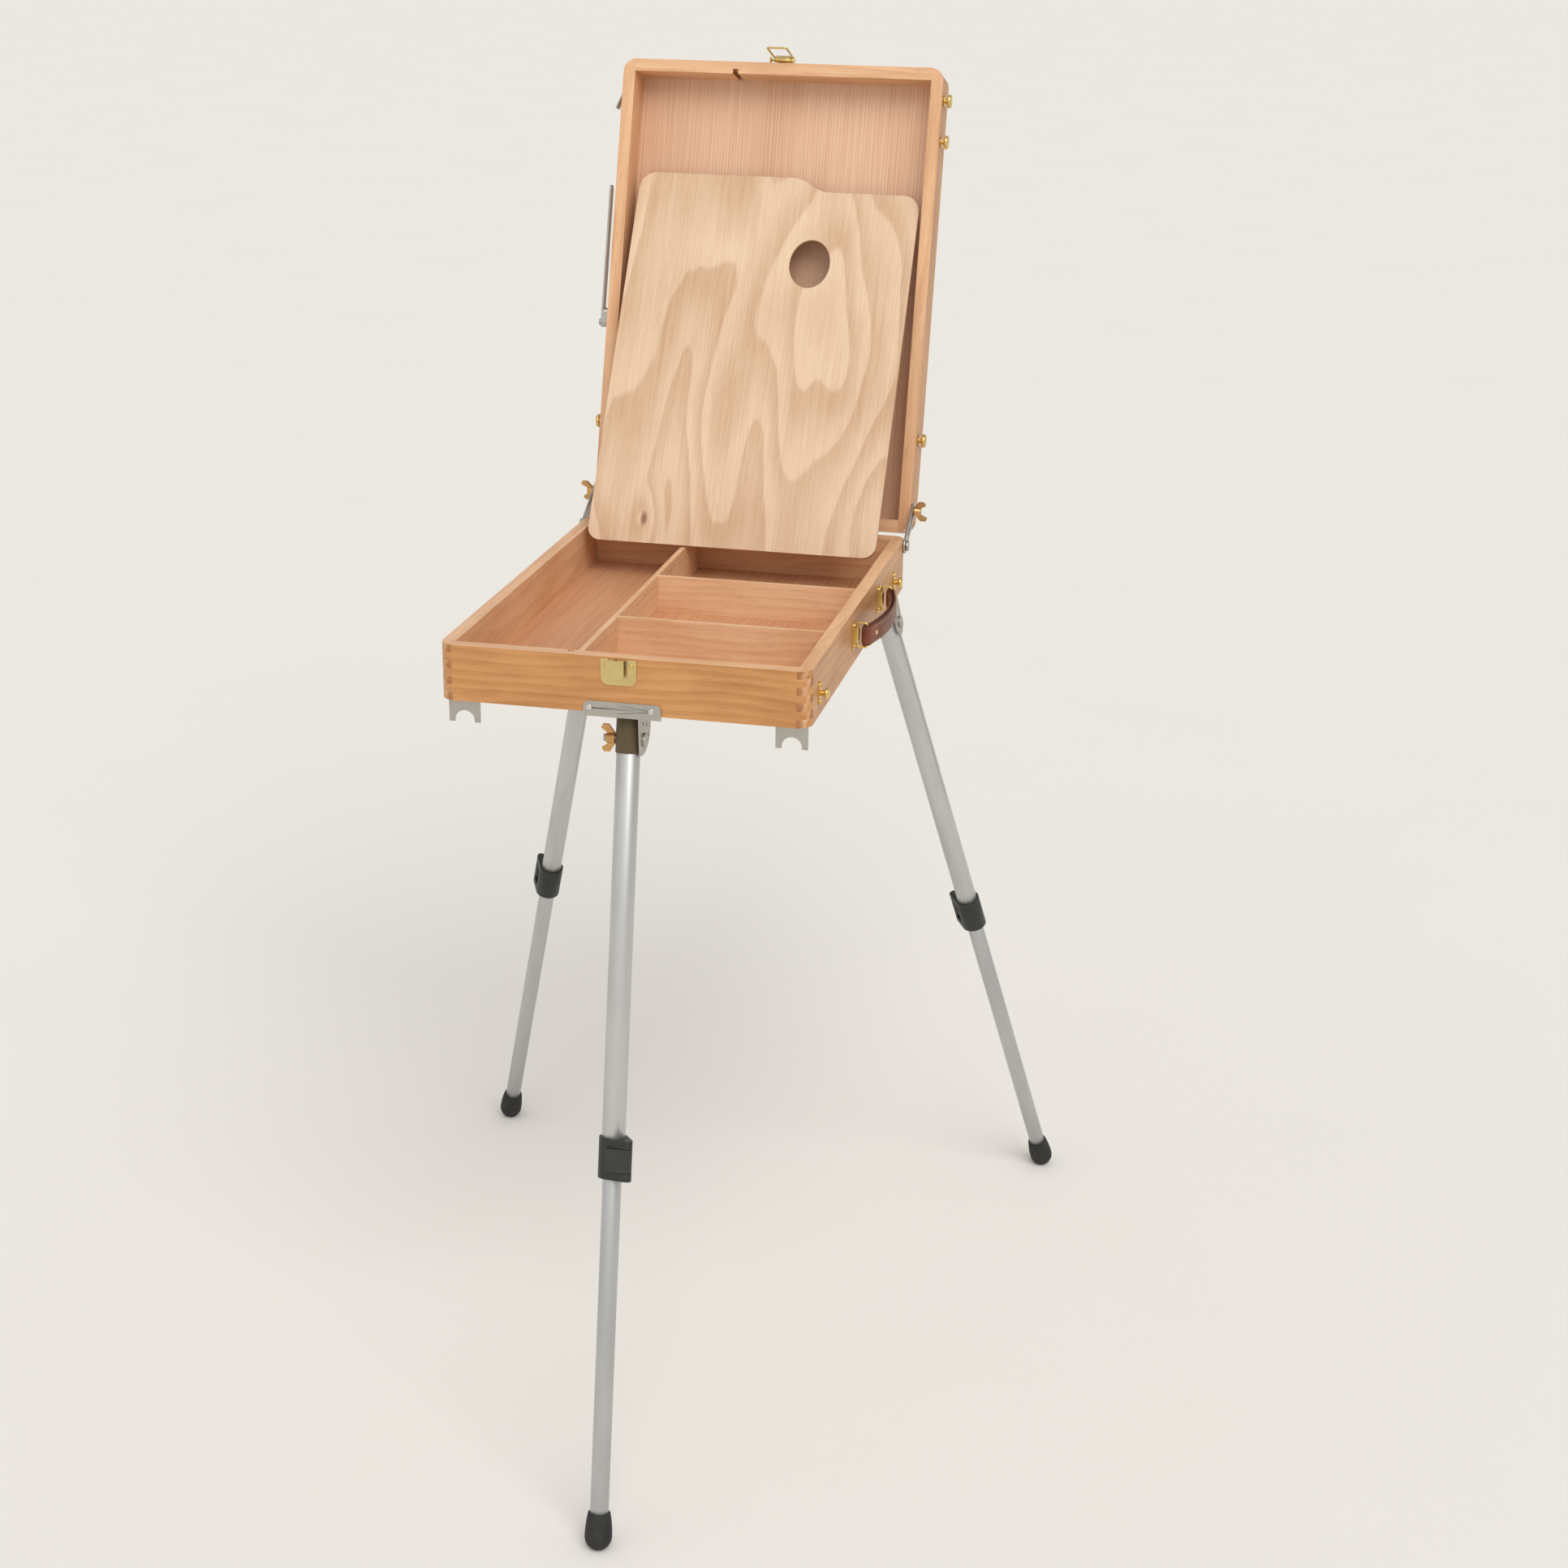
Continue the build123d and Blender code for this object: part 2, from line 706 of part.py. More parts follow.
with BuildPart() as stay_screws:
    with Locations(left_stay_spot.location, right_stay_spot.location):
        Cylinder(stay_screw_radius, stay_screw_length, align=(Align.CENTER, Align.CENTER, Align.MAX))
        Cylinder(stay_screw_radius, stay_outer, align=(Align.CENTER, Align.CENTER, Align.MIN))
    with Locations(left_stay_spot.offset(stay_outer).location, right_stay_spot.offset(stay_outer).location):
        Cylinder(stay_screw_radius * 2, 2.2, align=(Align.CENTER, Align.CENTER, Align.MIN))
        Box(4 * stay_screw_radius, 0.8, 2.8, mode=Mode.SUBTRACT)
save(stay_screws.part, "stay_screws")

bolt_end = 9

with BuildPart() as stay_bolts:
    with Locations(left_bolt_spot.location, right_bolt_spot.location):
        Cylinder(stay_bolt_radius, lid_bolt_length - 1, align=(Align.CENTER, Align.CENTER, Align.MAX))
        Cylinder(stay_bolt_radius, bolt_end, align=(Align.CENTER, Align.CENTER, Align.MIN))
save(stay_bolts.part, "stay_bolts")


def build_wing_nut(place, bore, hub):
    """A wing nut whose place faces away from the work; its wings spread along the place's y."""
    upright = Plane(origin=place.origin, x_dir=place.y_dir, z_dir=place.x_dir)
    tip = wing_span / 2
    with BuildSketch(upright) as wings:
        for side in (-1, 1):
            with BuildLine() as edge:
                Polyline(
                    (side * hub * 0.3, 0.6), (side * hub, 0.6), (side * tip, tip * 0.42), (side * tip, tip * 0.85),
                    (side * tip * 0.72, tip), (side * hub * 0.95, hub * 1.35), (side * hub * 0.3, hub * 1.35),
                    close=True
                )
            make_face(edge.edges())
    extrude(wings.sketch, amount=0.9, both=True)
    with Locations(place.location):
        Cone(hub, hub * 0.8, hub * 1.4, align=(Align.CENTER, Align.CENTER, Align.MIN))
        Cylinder(bore, 6 * hub, mode=Mode.SUBTRACT)


with BuildPart() as stay_wing_nuts:
    for place in (left_bolt_spot, right_bolt_spot):
        build_wing_nut(along_stay(place.offset(stay_outer)), stay_bolt_radius, 4.4)
save(stay_wing_nuts.part, "stay_wing_nuts")

# ---------------------------------------------------------------- carrying handle
pin_out = half_width + sheet + handle_wire / 2 + 0.3
ring_out = pin_out + handle_ring_reach
tunnel_radius = handle_wire / 2 + 1

with BuildPart() as handle_plates:
    with BuildSketch(right_face):
        with Locations(*[(y + handle_plate_shift, handle_z) for y in handle_places]):
            RectangleRounded(handle_plate_width, handle_plate_height, 2)
    extrude(amount=sheet)
    with BuildSketch(tray_level(handle_z)):
        with Locations(*[(pin_out, y) for y in handle_places]):
            Circle(tunnel_radius)
            with Locations((-tunnel_radius / 2, 0)):
                Rectangle(tunnel_radius, 2 * tunnel_radius)
    extrude(amount=handle_plate_height / 4, both=True)
    with BuildSketch(tray_side(0)):
        with Locations((box_length / 2, tray_height / 2)):
            Rectangle(2 * box_length, 2 * tray_height)
    extrude(amount=half_width, mode=Mode.SUBTRACT)
    with BuildSketch(tray_level(handle_z)):
        with Locations(*[(pin_out, y) for y in handle_places]):
            Circle(handle_wire / 2 + running_gap)
    extrude(amount=handle_plate_height, both=True, mode=Mode.SUBTRACT)
    cut_holes(handle_spots, shank_radius, shank_length)
save(handle_plates.part, "handle_plates")


def build_ring(y):
    """A rectangular wire ring standing out from the side, closed inside its plate's tunnel."""
    half = handle_ring_height / 2 - handle_wire / 2
    ring_plane = Plane(origin=(pin_out, tray_front_y + y, tray_underside_z + handle_z), x_dir=(1, 0, 0),
                       z_dir=(0, -1, 0))
    with BuildLine(ring_plane) as path:
        FilletPolyline((0, 0.4), (0, half), (handle_ring_reach, half), (handle_ring_reach, -half), (0, -half),
                       (0, -0.4), radius=handle_wire * 0.6)
    with BuildSketch(Plane(origin=ring_plane.from_local_coords((0, 0.4, 0)), z_dir=(0, 0, 1))) as wire:
        Circle(handle_wire / 2)
    sweep(wire.sketch, path=path.wire())


with BuildPart() as handle_rings:
    for y in handle_places:
        build_ring(y)
save(handle_rings.part, "handle_rings")

eye_radius = handle_wire / 2 + 0.2
strap_end_radius = eye_radius + half_strap_thickness

with BuildPart() as handle_strap:
    with BuildSketch(tray_level(handle_z)) as strap_outline:
        with BuildLine():
            ThreePointArc(
                (ring_out, handle_places[0]), (ring_out + strap_bow, sum(handle_places) / 2),
                (ring_out, handle_places[1])
            )
            offset(amount=half_strap_thickness, side=Side.BOTH)
        make_face()
        with Locations(*[(ring_out, y) for y in handle_places]):
            Circle(strap_end_radius)
            Circle(eye_radius, mode=Mode.SUBTRACT)
    extrude(amount=strap_width / 2, both=True)
save(handle_strap.part, "handle_strap")

with BuildPart() as stud_plates:
    with BuildSketch(right_face):
        with Locations(*[(y, stud_z) for y in stud_places]):
            RectangleRounded(stud_plate_width, stud_plate_height, 4)
            Circle(stud_neck_radius, mode=Mode.SUBTRACT)
    extrude(amount=sheet)
    cut_holes(stud_spots, shank_radius, shank_length)
save(stud_plates.part, "stud_plates")

with BuildPart() as strap_studs:
    with Locations(*[spot(right_face, y, stud_z).location for y in stud_places]):
        Cylinder(stud_neck_radius, sheet + stud_neck_length, align=(Align.CENTER, Align.CENTER, Align.MIN))
        with Locations((0, 0, sheet + stud_neck_length)):
            Cylinder(stud_head_radius, stud_head_length, align=(Align.CENTER, Align.CENTER, Align.MIN))
    fillet(strap_studs.edges().group_by(Axis.X)[-1], stud_head_length * 0.6)
save(strap_studs.part, "strap_studs")

# ---------------------------------------------------------------- canvas fittings on the lid's sides
with BuildPart() as canvas_washers:
    with Locations(*[place.location for place in knob_spots]):
        Cylinder(knob_washer_radius, sheet, align=(Align.CENTER, Align.CENTER, Align.MIN))
        Cylinder(shank_radius, 4 * sheet, mode=Mode.SUBTRACT)
save(canvas_washers.part, "canvas_washers")

with BuildPart() as canvas_knobs:
    with Locations(*[place.offset(sheet).location for place in knob_spots]):
        Cylinder(shank_radius, knob_screw_length, align=(Align.CENTER, Align.CENTER, Align.MAX))
        Cylinder(knob_neck_radius, knob_neck_length, align=(Align.CENTER, Align.CENTER, Align.MIN))
    with Locations(*[place.offset(sheet + knob_neck_length).location for place in knob_spots]):
        Cylinder(knob_radius, knob_thickness, align=(Align.CENTER, Align.CENTER, Align.MIN))
    knob_face_x = half_width + sheet + knob_neck_length + knob_thickness
    rims = canvas_knobs.edges().filter_by(GeomType.CIRCLE)
    fillet(rims.filter_by(lambda edge: abs(abs(edge.arc_center.X) - knob_face_x) < 0.01), knob_thickness * 0.7)
save(canvas_knobs.part, "canvas_knobs")

# The flat arm lies along the lid's left side and swings about the screw at its lower end.
arm_thickness = 1.6
arm_boss_thickness = 8
arm_stand_off = 0.6
arm_plane = arm_spot.offset(arm_stand_off)

with BuildPart() as canvas_arm:
    # A thick boss turns on the screw and carries the thin arm clear of the knobs beside it.
    with BuildSketch(arm_plane):
        with Locations((arm_width / 2, 0)):
            SlotCenterToCenter(arm_width, arm_width)
        Circle(shank_radius + running_gap, mode=Mode.SUBTRACT)
    extrude(amount=arm_boss_thickness)
    with BuildSketch(arm_plane.offset(arm_boss_thickness - arm_thickness)):
        with Locations((arm_length / 2, 0)):
            SlotCenterToCenter(arm_length, arm_width)
        Circle(shank_radius + running_gap, mode=Mode.SUBTRACT)
    extrude(amount=arm_thickness)
save(canvas_arm.part, "canvas_arm")

with BuildPart() as arm_screw:
    with Locations(arm_spot.location):
        Cylinder(shank_radius, knob_screw_length, align=(Align.CENTER, Align.CENTER, Align.MAX))
        Cylinder(shank_radius, arm_boss_thickness + 2 * arm_stand_off, align=(Align.CENTER, Align.CENTER, Align.MIN))
    with Locations(arm_plane.offset(arm_boss_thickness + arm_stand_off).location):
        Cylinder(arm_width / 3, 1.6, align=(Align.CENTER, Align.CENTER, Align.MIN))
save(arm_screw.part, "arm_screw")

# The spring clip is a leaf bent away from the side, held by one screw through its foot.

with BuildPart() as canvas_clip:
    clip_section = Plane(
        origin=canvas_clip_spot.origin, x_dir=canvas_clip_spot.x_dir, z_dir=-canvas_clip_spot.y_dir
    )
    with BuildSketch(clip_section):
        with BuildLine():
            Polyline(
                (6, 0), (-3, 0), (-leaf_fall, leaf_reach - leaf_thickness), (-leaf_fall, leaf_reach),
                (-3, leaf_thickness), (6, leaf_thickness), close=True
            )
        make_face()
    extrude(amount=leaf_half_width, both=True)
    with Locations(canvas_clip_spot.location):
        Cylinder(shank_radius, 4 * leaf_thickness, mode=Mode.SUBTRACT)
save(canvas_clip.part, "canvas_clip")


# ---------------------------------------------------------------- legs
def tray_point(place):
    """A point given from the tray's front bottom edge, in the easel's own frame."""
    return Vector(place[0], place[1] + tray_front_y, place[2] + tray_underside_z)


foot_centre_z = foot_radius - foot_flat


class Leg:
    """Where one leg stands, which way it points and the axis that it folds about."""

    def __init__(self, name, pivot, foot, fold_to, collar_start, ear_side):
        self.name = name
        self.pivot = tray_point(pivot)
        self.foot = Vector(foot[0], foot[1] + tray_front_y, foot_centre_z)
        self.length = (self.foot - self.pivot).length
        self.down = (self.foot - self.pivot).normalized()
        self.folded = (tray_point(fold_to) - self.pivot).normalized()
        self.axis = self.down.cross(self.folded).normalized()
        self.fold_angle = self.down.get_angle(self.folded)
        self.collar_start = collar_start
        self.tube_end = collar_start + collar_grip
        self.ear_side = ear_side
        self.plane = Plane(origin=self.pivot, x_dir=self.axis, z_dir=self.down)
        self.bolt_plane = Plane(origin=self.pivot, x_dir=self.down, z_dir=self.axis)
        rise = (Vector(0, 0, 1) - self.axis * self.axis.Z).normalized()
        self.ear_plane = Plane(origin=self.pivot, x_dir=rise.cross(self.axis), z_dir=self.axis)


behind = (front_pivot[0], front_pivot[1] + box_length, front_pivot[2])
left_fork = (left_clip_x, clip_front_y, fork_centre_z)
right_fork = (right_clip_x, clip_front_y, fork_centre_z)
legs = (
    Leg("front", front_pivot, front_foot, behind, front_collar_start, 1),
    Leg("rear_left", rear_left_pivot, rear_left_foot, left_fork, rear_collar_start, 1),
    Leg("rear_right", rear_right_pivot, rear_right_foot, right_fork, rear_collar_start, -1),
)
front_leg, rear_left_leg, rear_right_leg = legs


def add_round(plane, radius, low, high, mode=Mode.ADD):
    """A round bar square to the plane, from one distance to another along it."""
    with BuildSketch(plane.offset(low)) as section:
        Circle(radius)
    extrude(section.sketch, amount=high - low, mode=mode)


def cut_bolt_hole(leg):
    """The running hole for the pivot bolt, through everything that turns about it."""
    add_round(leg.bolt_plane, pivot_bolt_radius + running_gap, -30, 30, Mode.SUBTRACT)


def add_lug(leg, start):
    """One of the two lugs that carry the lever's pin: the hull of the collar and the pin's eye."""
    with BuildSketch(leg.plane.offset(start)) as lug:
        Circle(collar_radius)
        with Locations((lever_pin_x, lever_pin_y)):
            Circle(knuckle_radius)
        make_hull()
    extrude(lug.sketch, amount=lug_length)


def lever_pin_plane(leg):
    return spot(leg.plane, lever_pin_x, lever_pin_y)


def build_collar(leg):
    """The clamp collar: gripped on the upper tube, and close round the lower one."""
    start = leg.collar_start
    end = start + collar_length
    add_round(leg.plane, collar_radius, start, end)
    add_lug(leg, start)
    add_lug(leg, end - lug_length)
    add_round(leg.plane, upper_tube_diameter / 2, start - 1, leg.tube_end, Mode.SUBTRACT)
    add_round(leg.plane, lower_tube_diameter / 2 + running_gap, start, end + 1, Mode.SUBTRACT)
    add_round(lever_pin_plane(leg), lever_pin_radius + running_gap, start - 1, end + 1, Mode.SUBTRACT)


def build_lever(leg):
    """The flip lever: a knuckle between the lugs, its pin, and a panel across the collar."""
    low = leg.collar_start + lug_length + loose_gap
    high = leg.collar_start + collar_length - lug_length - loose_gap
    pin_plane = lever_pin_plane(leg)
    add_round(pin_plane, knuckle_radius, low, high)
    panel_top = lever_pin_y + knuckle_radius
    with BuildSketch(leg.plane.offset(low)) as panel:
        with Locations(((lever_panel_end_x + lever_pin_x) / 2, panel_top - lever_panel_thickness / 2)):
            Rectangle(lever_pin_x - lever_panel_end_x, lever_panel_thickness)
    extrude(panel.sketch, amount=high - low)
    add_round(pin_plane, lever_pin_radius, leg.collar_start, leg.collar_start + collar_length)


def build_foot(leg):
    """A rubber tip: a bulb with a flat worn where it stands, bored for the lower tube."""
    upright = Plane(origin=leg.foot, x_dir=leg.axis, z_dir=leg.axis.cross(leg.down))
    with BuildSketch(upright) as profile:
        with BuildLine() as edge:
            Polyline((0, foot_radius), (0, -foot_height), (foot_neck_radius, -foot_height))
            TangentArc((foot_radius, 0), (foot_neck_radius, -foot_height), tangent=(0, -1))
            CenterArc((0, 0), foot_radius, 0, 90)
        make_face(edge.edges())
    revolve(profile.sketch, axis=Axis(leg.foot, leg.down))
    add_round(leg.plane, lower_tube_diameter / 2, leg.length - foot_height - 1, leg.length - 3, Mode.SUBTRACT)
    split(bisect_by=Plane.XY, keep=Keep.TOP)


for leg in legs:
    is_front = leg is front_leg
    with BuildPart() as hinge_block:
        if is_front:
            # The front leg's block is a sleeve-like socket with a spigot inside the tube.
            add_round(leg.plane, socket_radius, -socket_top, socket_bottom)
            add_round(leg.plane, upper_tube_bore / 2, socket_bottom, plug_length)
        else:
            # The rear legs' blocks are plugs inside the tops of the tubes.
            add_round(leg.plane, upper_tube_bore / 2, -tube_top, plug_length - tube_top)
        cut_bolt_hole(leg)
    save(hinge_block.part, f"{leg.name}_leg_socket" if is_front else f"{leg.name}_leg_plug")

    with BuildPart() as upper_tube:
        tube_start = socket_bottom if is_front else -tube_top
        add_round(leg.plane, upper_tube_diameter / 2, tube_start, leg.tube_end)
        add_round(leg.plane, upper_tube_bore / 2, tube_start, leg.tube_end, Mode.SUBTRACT)
        if not is_front:
            cut_bolt_hole(leg)
    save(upper_tube.part, f"{leg.name}_upper_tube")

    with BuildPart() as collar:
        build_collar(leg)
    save(collar.part, f"{leg.name}_collar")

    with BuildPart() as lever:
        build_lever(leg)
    save(lever.part, f"{leg.name}_clamp_lever")

    with BuildPart() as lower_tube:
        lower_start = leg.tube_end - tube_overlap
        add_round(leg.plane, lower_tube_diameter / 2, lower_start, leg.length - 3)
        add_round(leg.plane, lower_tube_bore / 2, lower_start, leg.length - 3, Mode.SUBTRACT)
    save(lower_tube.part, f"{leg.name}_lower_tube")

    with BuildPart() as foot:
        build_foot(leg)
    save(foot.part, f"{leg.name}_foot")

# ---------------------------------------------------------------- brackets, pivot bolts and clips
ear_reach = 2 * tray_height
front_ear_inner = socket_radius + loose_gap
rear_ear_inner = upper_tube_diameter / 2 + loose_gap


def add_ear(leg, inner, side):
    """A rounded sheet-steel ear beside the leg, square to its bolt, reaching up to the tray."""
    start = inner if side > 0 else -inner - steel
    with BuildSketch(leg.ear_plane.offset(start)) as ear:
        Circle(ear_radius)
        with Locations((0, ear_reach / 2)):
            Rectangle(2 * ear_radius, ear_reach)
        Circle(pivot_bolt_radius, mode=Mode.SUBTRACT)
    extrude(ear.sketch, amount=steel)


def add_base(centre_x, near_y, far_y, half_width_x):
    """The flat part of a bracket, under the tray's floor."""
    with BuildSketch(underside) as base:
        with Locations((centre_x, -(near_y + far_y) / 2)):
            Rectangle(2 * half_width_x, far_y - near_y)
    extrude(base.sketch, amount=steel)


with BuildPart() as front_bracket:
    # The quadrant ear stands on one side only, with detent holes round the bolt.
    with BuildSketch(front_leg.ear_plane.offset(front_ear_inner)):
        with Locations((-1, quadrant_radius / 2)):
            Circle(quadrant_radius)
        with Locations((-1, ear_reach / 2 + quadrant_radius / 2)):
            Rectangle(2 * quadrant_radius, ear_reach)
        with Locations((-10 - quadrant_radius, 0)):
            Rectangle(2 * quadrant_radius, 4 * ear_reach, mode=Mode.SUBTRACT)
        Circle(pivot_bolt_radius, mode=Mode.SUBTRACT)
        with PolarLocations(detent_radius, 3, start_angle=0, angular_range=90, endpoint=True):
            Circle(1.5, mode=Mode.SUBTRACT)
    extrude(amount=steel)
    split(bisect_by=tray_level(0), keep=Keep.BOTTOM)
    with BuildSketch(front_face) as flange:
        with Locations(
            ((front_flange_left_x + front_flange_right_x) / 2, (front_flange_rise - front_flange_drop) / 2)
        ):
            Rectangle(front_flange_right_x - front_flange_left_x, front_flange_rise + front_flange_drop)
        fillet(flange.vertices().group_by(Axis.Y)[-1], 5)
    extrude(amount=steel)
    add_base(0, -steel, front_base_length, front_base_half_width)
    cut_holes(flange_spots + front_base_spots, shank_radius, 2 * steel)
save(front_bracket.part, "front_leg_bracket")

for leg, (pivot, inward) in zip(legs[1:], rear_base_places):
    with BuildPart() as rear_bracket:
        add_ear(leg, rear_ear_inner, 1)
        add_ear(leg, rear_ear_inner, -1)
        split(bisect_by=tray_level(0), keep=Keep.BOTTOM)
        near = pivot[1] - rear_base_half_length
        add_base(pivot[0] + inward * rear_base_shift, near, near + 2 * rear_base_half_length, rear_base_half_width)
        cut_holes(rear_base_spots, shank_radius, 2 * steel)
    save(rear_bracket.part, f"{leg.name}_leg_bracket")

nut_gap = 0.6

with BuildPart() as leg_bolts:
    for leg in legs:
        inner = front_ear_inner if leg is front_leg else rear_ear_inner
        outer = leg.ear_side * (inner + steel)
        free_end = -leg.ear_side * (inner + steel + 8)
        low, high = sorted((outer, free_end))
        add_round(leg.bolt_plane, pivot_bolt_radius, low, high)
        head = sorted((outer, outer + leg.ear_side * 2.2))
        add_round(leg.bolt_plane, pivot_bolt_radius * 1.8, *head)
save(leg_bolts.part, "leg_bolts")

with BuildPart() as leg_wing_nuts:
    for leg in legs:
        seat = socket_radius + nut_gap if leg is front_leg else rear_ear_inner + steel
        place = leg.ear_plane.offset(-leg.ear_side * seat)
        facing = Plane(origin=place.origin, x_dir=place.x_dir, z_dir=place.z_dir * -leg.ear_side)
        build_wing_nut(facing, pivot_bolt_radius, 5)
save(leg_wing_nuts.part, "leg_wing_nuts")

with BuildPart() as leg_clips:
    for x in (left_clip_x, right_clip_x):
        with BuildSketch(tray_face(clip_front_y)) as fork:
            with Locations((x, -clip_drop / 2)):
                Rectangle(clip_width, clip_drop)
            with Locations((x, fork_centre_z)):
                Circle(fork_radius, mode=Mode.SUBTRACT)
        extrude(fork.sketch, amount=-clip_steel)
        add_base_flange = Location((x, tray_front_y + clip_front_y + clip_flange_length / 2,
                                    tray_underside_z - clip_steel / 2))
        with Locations(add_base_flange):
            Box(clip_width, clip_flange_length, clip_steel)
    cut_holes(clip_spots, shank_radius, 2 * clip_steel)
save(leg_clips.part, "leg_clips")
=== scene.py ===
# %% [markdown]
# # A French box easel
#
# A painter's box easel is three things in one: a shallow wooden box for brushes and tubes, a lid that leans back
# to hold the palette and the canvas, and three telescopic legs that fold up underneath. The shapes of its boards,
# tubes, brackets and screws come ready made from CAD. What is left to do here is the part that a painter would
# recognise first: honey-varnished wood, a sheet of plywood with its wandering figure, satin tube, brass, and one
# stitched leather handle.

# %% Load the ready-made parts
from math import atan2, cos, pi, radians, sin

import bmesh
import bpy
from mathutils import Matrix, Vector


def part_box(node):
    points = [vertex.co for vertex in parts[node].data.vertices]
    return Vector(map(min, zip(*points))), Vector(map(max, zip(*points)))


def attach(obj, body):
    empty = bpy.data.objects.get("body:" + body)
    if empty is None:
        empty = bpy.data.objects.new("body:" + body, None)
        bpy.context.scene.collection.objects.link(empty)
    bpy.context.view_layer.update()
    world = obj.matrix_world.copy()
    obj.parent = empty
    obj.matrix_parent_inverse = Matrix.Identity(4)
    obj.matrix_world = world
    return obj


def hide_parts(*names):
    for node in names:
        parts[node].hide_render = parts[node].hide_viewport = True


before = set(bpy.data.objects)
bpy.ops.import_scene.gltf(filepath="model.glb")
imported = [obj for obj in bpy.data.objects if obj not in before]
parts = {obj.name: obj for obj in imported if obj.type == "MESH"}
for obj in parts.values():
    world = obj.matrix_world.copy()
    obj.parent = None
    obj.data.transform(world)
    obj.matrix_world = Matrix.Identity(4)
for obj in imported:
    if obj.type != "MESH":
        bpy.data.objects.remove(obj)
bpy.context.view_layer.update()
MM = 0.001

# %% [markdown]
# ## The point of view
#
# The easel is seen from the front and a little to its right, from about standing height and three paces back, as
# somebody would look at it across a room. A long lens keeps the legs from splaying. The camera is placed by three
# turns: the way it faces round the room, how far it looks down, and a very small tilt of the head.

# %% Camera
CAMERA_PLACE = Vector((0.5394, -2.1256, 1.3342))
FACING = -0.21204
LOOKING_DOWN = 0.351157
HEAD_TILT = 0.012503
LENS, SENSOR = 61.13, 36

ahead = Vector((sin(FACING) * cos(LOOKING_DOWN), cos(FACING) * cos(LOOKING_DOWN), -sin(LOOKING_DOWN)))
level_right = Vector((cos(FACING), -sin(FACING), 0))
level_up = level_right.cross(ahead)
right = level_right * cos(HEAD_TILT) + level_up * sin(HEAD_TILT)
up = level_up * cos(HEAD_TILT) - level_right * sin(HEAD_TILT)

camera_data = bpy.data.cameras.new("viewpoint")
camera_data.lens = LENS
camera_data.sensor_width = SENSOR
camera = bpy.data.objects.new("viewpoint", camera_data)
camera.matrix_world = Matrix((
    (right.x, up.x, -ahead.x, CAMERA_PLACE.x),
    (right.y, up.y, -ahead.y, CAMERA_PLACE.y),
    (right.z, up.z, -ahead.z, CAMERA_PLACE.z),
    (0, 0, 0, 1),
))
bpy.context.scene.collection.objects.link(camera)
bpy.context.scene.camera = camera
print("camera", round((camera.location - Vector((0, 0, 0.8))).length, 2), "m from the middle of the easel")

# %% [markdown]
# ## Writing a finish as a sum
#
# A procedural finish is a small calculation at every point of the surface: how far along the grain, which growth
# ring, how rough. Blender stores it as a web of nodes. Two small classes let it be written as ordinary sums: one
# wraps the output of a node, so that adding two of them adds a Math node, and the other holds a material and makes
# any node in it.

# %% Numbers that live in a material
class Field:
    """A number, colour or vector that changes over a surface: one output of a shader node."""

    def __init__(self, finish, socket):
        self.finish = finish
        self.socket = socket

    def math(self, operation, *numbers):
        return self.finish.node("ShaderNodeMath", {"operation": operation}, dict(enumerate(numbers)))

    def __add__(self, other):
        return self.math("ADD", self, other)

    def __radd__(self, other):
        return self.math("ADD", other, self)

    def __sub__(self, other):
        return self.math("SUBTRACT", self, other)

    def __rsub__(self, other):
        return self.math("SUBTRACT", other, self)

    def __mul__(self, other):
        return self.math("MULTIPLY", self, other)

    def __rmul__(self, other):
        return self.math("MULTIPLY", other, self)

    def __truediv__(self, other):
        return self.math("DIVIDE", self, other)

    def __abs__(self):
        return self.math("ABSOLUTE", self)

    def wave(self):
        """Rises and falls between 0 and 1, once for every whole step of the number."""
        return self.math("SINE", self * (2 * pi)) * 0.5 + 0.5

    def fraction(self):
        return self.math("FRACT", self)

    def step(self, low, high):
        """0 below low, 1 above high, and a smooth rise between them."""
        return self.finish.node(
            "ShaderNodeMapRange", {"interpolation_type": "SMOOTHSTEP"},
            {"Value": self, "From Min": low, "From Max": high}
        )


